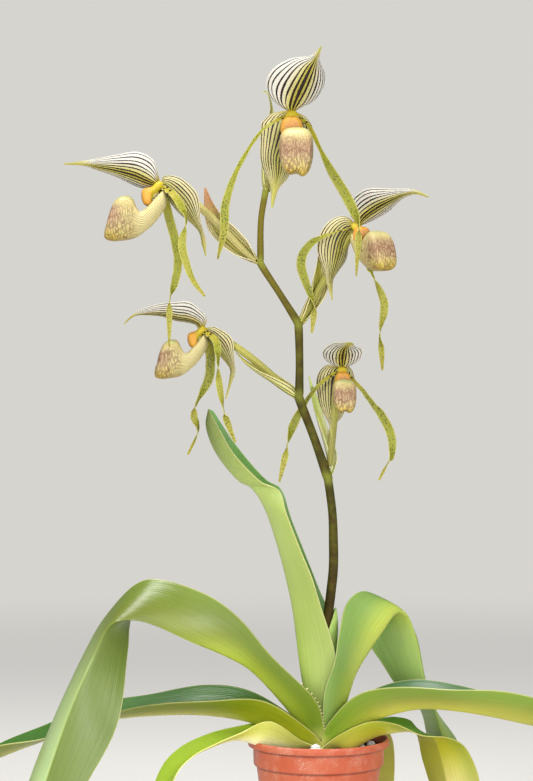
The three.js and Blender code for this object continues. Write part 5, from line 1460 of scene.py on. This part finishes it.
# The plastic's own colours and its dust, and a dark colour for the painted shade under the lip and at the
# step.
given = new_group("dusty_plastic", {
    "Plastic": srgb(182, 82, 48), "Worn": srgb(198, 106, 72), "Dust": srgb(226, 200, 182),
    "Painted Shade": srgb(96, 36, 22), "Gloss": 0.44,
})
cloud = ramp(grain(36.0, 5.0), 0.35, 0.7)
streaks = ramp(grain(170.0, 4.0, (1, 1, 0.8)), 0.54, 0.8)
haze = ramp(grain(70.0, 9.0), 0.44, 0.78)
specks = ramp(grain(900.0, 2.0), 0.54, 0.64)
film = times(calc("MAXIMUM", streaks, haze), 0.13)
dust = calc("ADD", film, times(specks, haze, 0.5), clamp=True)
level = node("SeparateXYZ", Vector=own_space()).outputs["Z"]
colour = coats(
    given["Plastic"],
    (times(cloud, 0.4), given["Worn"]),
    # Two dark rings of painted shade, under the lip and at the step.
    *bands(level, PAINTED_SHADE_LINES, 0.0004, 0.0018, given["Painted Shade"]),
    (dust, given["Dust"]),
)
height = weighted((grain(60.0, 1.0, (0.02, 0.02, 14)), 0.4), (specks, 0.15))
close_group(Color=colour, Roughness=plus(given["Gloss"], times(dust, 0.4)), Height=height)
coat(pot_body, new_material("pot_plastic", "dusty_plastic", relief=0.0002))
finished(pot_body, "pot")


# %% [markdown]
# The roots grow in coarse bark, which shows as dark chips inside the rim, with white lumps of perlite
# between them. The bed of bark is turned like the pot and its top is raised by a formula; chips are one
# beveled block, copied and turned, each with its own mesh.

# %% Make the bed of bark
MEDIUM_TOP = 94.3
CROWN_HOLE = 18.4


def bark_relief(x, y):
    """Height of the lumps and hollows of the bark's top at a place, in mm."""
    mound = 1.6 * math.exp(-(((math.hypot(x, y) - 18) / 16) ** 2))
    lumps = 0.8 * math.sin(x * 0.55 + 1.3) * math.cos(y * 0.61) + 0.5 * math.sin(x * 1.1 + y * 0.9)
    return mound + lumps - 0.6


bed_outline = [(0, 2.55), (39.5, 2.55), (50.1, 78), (52.4, 84), (52.9, 92.3), (52.3, MEDIUM_TOP)]
bed_outline += [(r, MEDIUM_TOP) for r in (50, 47, 44, 41, 38, 35, 32, 29, 26, 23, 20.5, 18)]
bed_outline += [(16.4, 93), (10.35, 59.65), (0, 59.65)]
bed = turned("bark_bed", bed_outline, 96)
for vertex in bed.data.vertices:
    x, y, z = (value / MM for value in vertex.co)
    if abs(z - MEDIUM_TOP) < 0.1:
        vertex.co.z += bark_relief(x, y) * MM
    if math.hypot(x, y) < CROWN_HOLE:
        vertex.co.x += CROWN["x"] * MM

given = new_group("bark_bits", {"Dark": srgb(44, 30, 22), "Light": srgb(112, 80, 54)})
fibre = grain(260.0, 6.0, (1, 1, 3))
colour = coats(given["Dark"], (ramp(fibre, 0.35, 0.7), given["Light"]))
close_group(Color=colour, Roughness=ramp(fibre, 0.3, 0.7, 0.8, 0.95), Height=fibre)
bark_finish = new_material("bark_finish", "bark_bits", relief=0.002)
coat(bed, bark_finish)


# %% Scatter the chips
CHIP_KINDS, CHIPS_OF_A_KIND = 6, 26
CHIP_DISTANCE = (20, 49)
CHIP_LENGTH, CHIP_WIDTH, CHIP_THICKNESS = (6, 11), (4, 7), (2, 3.4)
CHIP_TILT, CHIP_RISE = (-0.3, 0.3), (-0.9, 0.5)


def one_chip():
    """A rough chip of bark: a block, bevelled, with its corners pushed about."""
    bpy.ops.mesh.primitive_cube_add(size=1)
    chip = bpy.context.active_object
    for vertex in chip.data.vertices:
        vertex.co += Vector([random.uniform(-0.18, 0.18) for axis in range(3)])
    apply_modifier(chip, "BEVEL", width=0.12, segments=1)
    return chip


chips = []
for kind in range(CHIP_KINDS):
    first = one_chip()
    for i in range(CHIPS_OF_A_KIND):
        chip = own_copy(first)
        radius, angle = random.uniform(*CHIP_DISTANCE), random.uniform(0, 2 * math.pi)
        x, y = radius * math.cos(angle), radius * math.sin(angle)
        chip.scale = [random.uniform(*size) * MM for size in (CHIP_LENGTH, CHIP_WIDTH, CHIP_THICKNESS)]
        chip.rotation_euler = [random.uniform(*turn) for turn in (CHIP_TILT, CHIP_TILT, (0, 6.28))]
        chip.location = Vector((x, y, MEDIUM_TOP + bark_relief(x, y) + random.uniform(*CHIP_RISE))) * MM
        coat(chip, bark_finish)
        chips.append(chip)
    bpy.data.objects.remove(first)
join_to(bed, chips)
finished(bed, "potting_bark")


# %% Make the perlite
# x, y and radius of each lump, and how far its middle is above the bark.
PERLITE = [
    (-3.2, -34, 4.4, 6.6), (45, 10, 3.4, 3), (37.5, 7, 2.4, 2.4), (-38, 20, 2.8, 1.2), (-14, 42, 3.2, 1.4),
    (24, -41, 2.6, 1.2),
]
given = new_group(
    "perlite_grain", {"White": srgb(240, 238, 232), "Pore": srgb(190, 184, 174)}, ("Color", "Height"))
pores = node("TexVoronoi", Vector=own_space(), Scale=1100.0)
pit = ramp(pores.outputs["Distance"], 0.1, 0.45)
close_group(Color=coats(given["Pore"], (pit, given["White"])), Height=pit)
perlite_finish = new_material("perlite_finish", "perlite_grain", relief=0.0004, Roughness=0.9)
for i, (x, y, radius, rise) in enumerate(PERLITE):
    bpy.ops.mesh.primitive_ico_sphere_add(subdivisions=4, radius=radius)
    lump = bpy.context.active_object
    lump.name = f"white_lump_{i + 1}"
    centre = Vector((x, y, MEDIUM_TOP + bark_relief(x, y) + rise))
    for vertex in lump.data.vertices:
        p = vertex.co.copy()
        bump = 1 + 0.13 * math.sin(p.x * 2.3 + i) * math.cos(p.y * 1.9 - i) + 0.08 * math.sin(p.z * 3)
        fine = 1 + 0.03 * math.sin(p.x * 7) * math.sin(p.y * 6.1 + i) * math.sin(p.z * 6.7)
        p *= bump * fine
        vertex.co = (centre + Vector((p.x, p.y * 0.9, p.z * 0.95))) * MM
    coat(lump, perlite_finish)
    finished(lump, f"perlite_{i + 1}")


# %% [markdown]
# The crown is where all the leaf bases sit inside one another. Most of it is hidden, and only its pale cone
# shows between them.

# %% Make the crown
CROWN_OUTLINE = [
    (0, 60), (9, 60), (10, 60.8), (13, 78), (15.9, 92.6), (16, 93.4), (15.9, 94.4), (14, 95.6), (9, 99.4),
    (4.8, 102.5), (4, 103), (0, 103),
]
crown = turned("crown_cone", CROWN_OUTLINE, 64)
for vertex in crown.data.vertices:
    vertex.co.x += CROWN["x"] * MM
crown.data.uv_layers.new(name="UVMap")
coat(crown, new_material("crown_skin", "leaf_skin", {
    "Base": srgb(206, 204, 122), "Middle": srgb(186, 192, 96), "Tip": srgb(186, 192, 96),
}, relief=0.0002))
finished(crown, "crown")


# %% [markdown]
# ## Stage, light and camera
# A wide pale floor carries the pot. Four soft panels light the plant from the left, the right, the front and
# above, so that the folds read without hard shadows, and the far floor is as pale as the studio behind it.

# %% Make the floor
FLOOR_RADIUS = 30.0
STUDIO_PALE = srgb(214, 212, 207)
BLACK = (0, 0, 0, 1)
bpy.ops.mesh.primitive_circle_add(vertices=96, radius=FLOOR_RADIUS, fill_type="NGON")
floor = bpy.context.active_object
floor.name = "floor"
floor_paint, shader_inputs = plain_material("floor_paint")
away = node("VectorMath", {"operation": "LENGTH"}, Vector=own_space())
glow = ramp(away.outputs["Value"], 0.5, 2.6)
feed(shader_inputs["Base Color"], coats(srgb(224, 221, 215), (glow, BLACK)))
feed(shader_inputs["Emission Color"], coats(BLACK, (glow, STUDIO_PALE)))
feed(shader_inputs["Emission Strength"], 1.0)
feed(shader_inputs["Roughness"], 0.85)
feed(shader_inputs["Specular IOR Level"], 0.0)
coat(floor, floor_paint)
floor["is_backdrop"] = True


# %% Light the plant
def panel(name, place, aim, size, power):
    """A square soft light at a place, turned to a point at this height above the pot's foot."""
    light = bpy.data.lights.new(name, "AREA")
    light.size = size
    light.energy = power
    lamp = bpy.data.objects.new(name, light)
    lamp.location = place
    lamp.rotation_euler = (Vector((0, 0, aim)) - Vector(place)).to_track_quat("-Z", "Y").to_euler()
    bpy.context.collection.objects.link(lamp)


panel("left_light", (-1.5, -1.7, 1.3), 0.3, 0.9, 32)
panel("right_light", (1.5, -1.8, 1.0), 0.3, 0.9, 22)
panel("front_light", (0.2, -2.4, 0.35), 0.2, 0.7, 22)
panel("top_light", (-0.2, -0.3, 2.2), 0.3, 0.7, 38)
world = bpy.data.worlds.new("studio")
bpy.context.scene.world = world
world.use_nodes = True
canvas["tree"] = world.node_tree
sky_inputs = world.node_tree.nodes["Background"].inputs
seen = node("LightPath").outputs["Is Camera Ray"]
feed(sky_inputs["Color"], coats(srgb(236, 240, 246), (seen, STUDIO_PALE)))
feed(sky_inputs["Strength"], plus(times(seen, 0.7), 0.3))
bpy.context.scene.view_settings.view_transform = "Standard"
print("lights:", len(bpy.data.lights))


# %% Place the camera
camera_data = bpy.data.cameras.new("camera")
camera_data.lens = 102.93
camera_data.sensor_width = 36
camera_data.clip_start = 0.05
camera_data.clip_end = 50
camera = bpy.data.objects.new("camera", camera_data)
camera.location = (-0.0443, -1.9, 0.4007)
camera.rotation_euler = (math.pi / 2, 0, 0)
bpy.context.collection.objects.link(camera)
bpy.context.scene.camera = camera


# %% Find the bounds of what is shown
low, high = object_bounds()
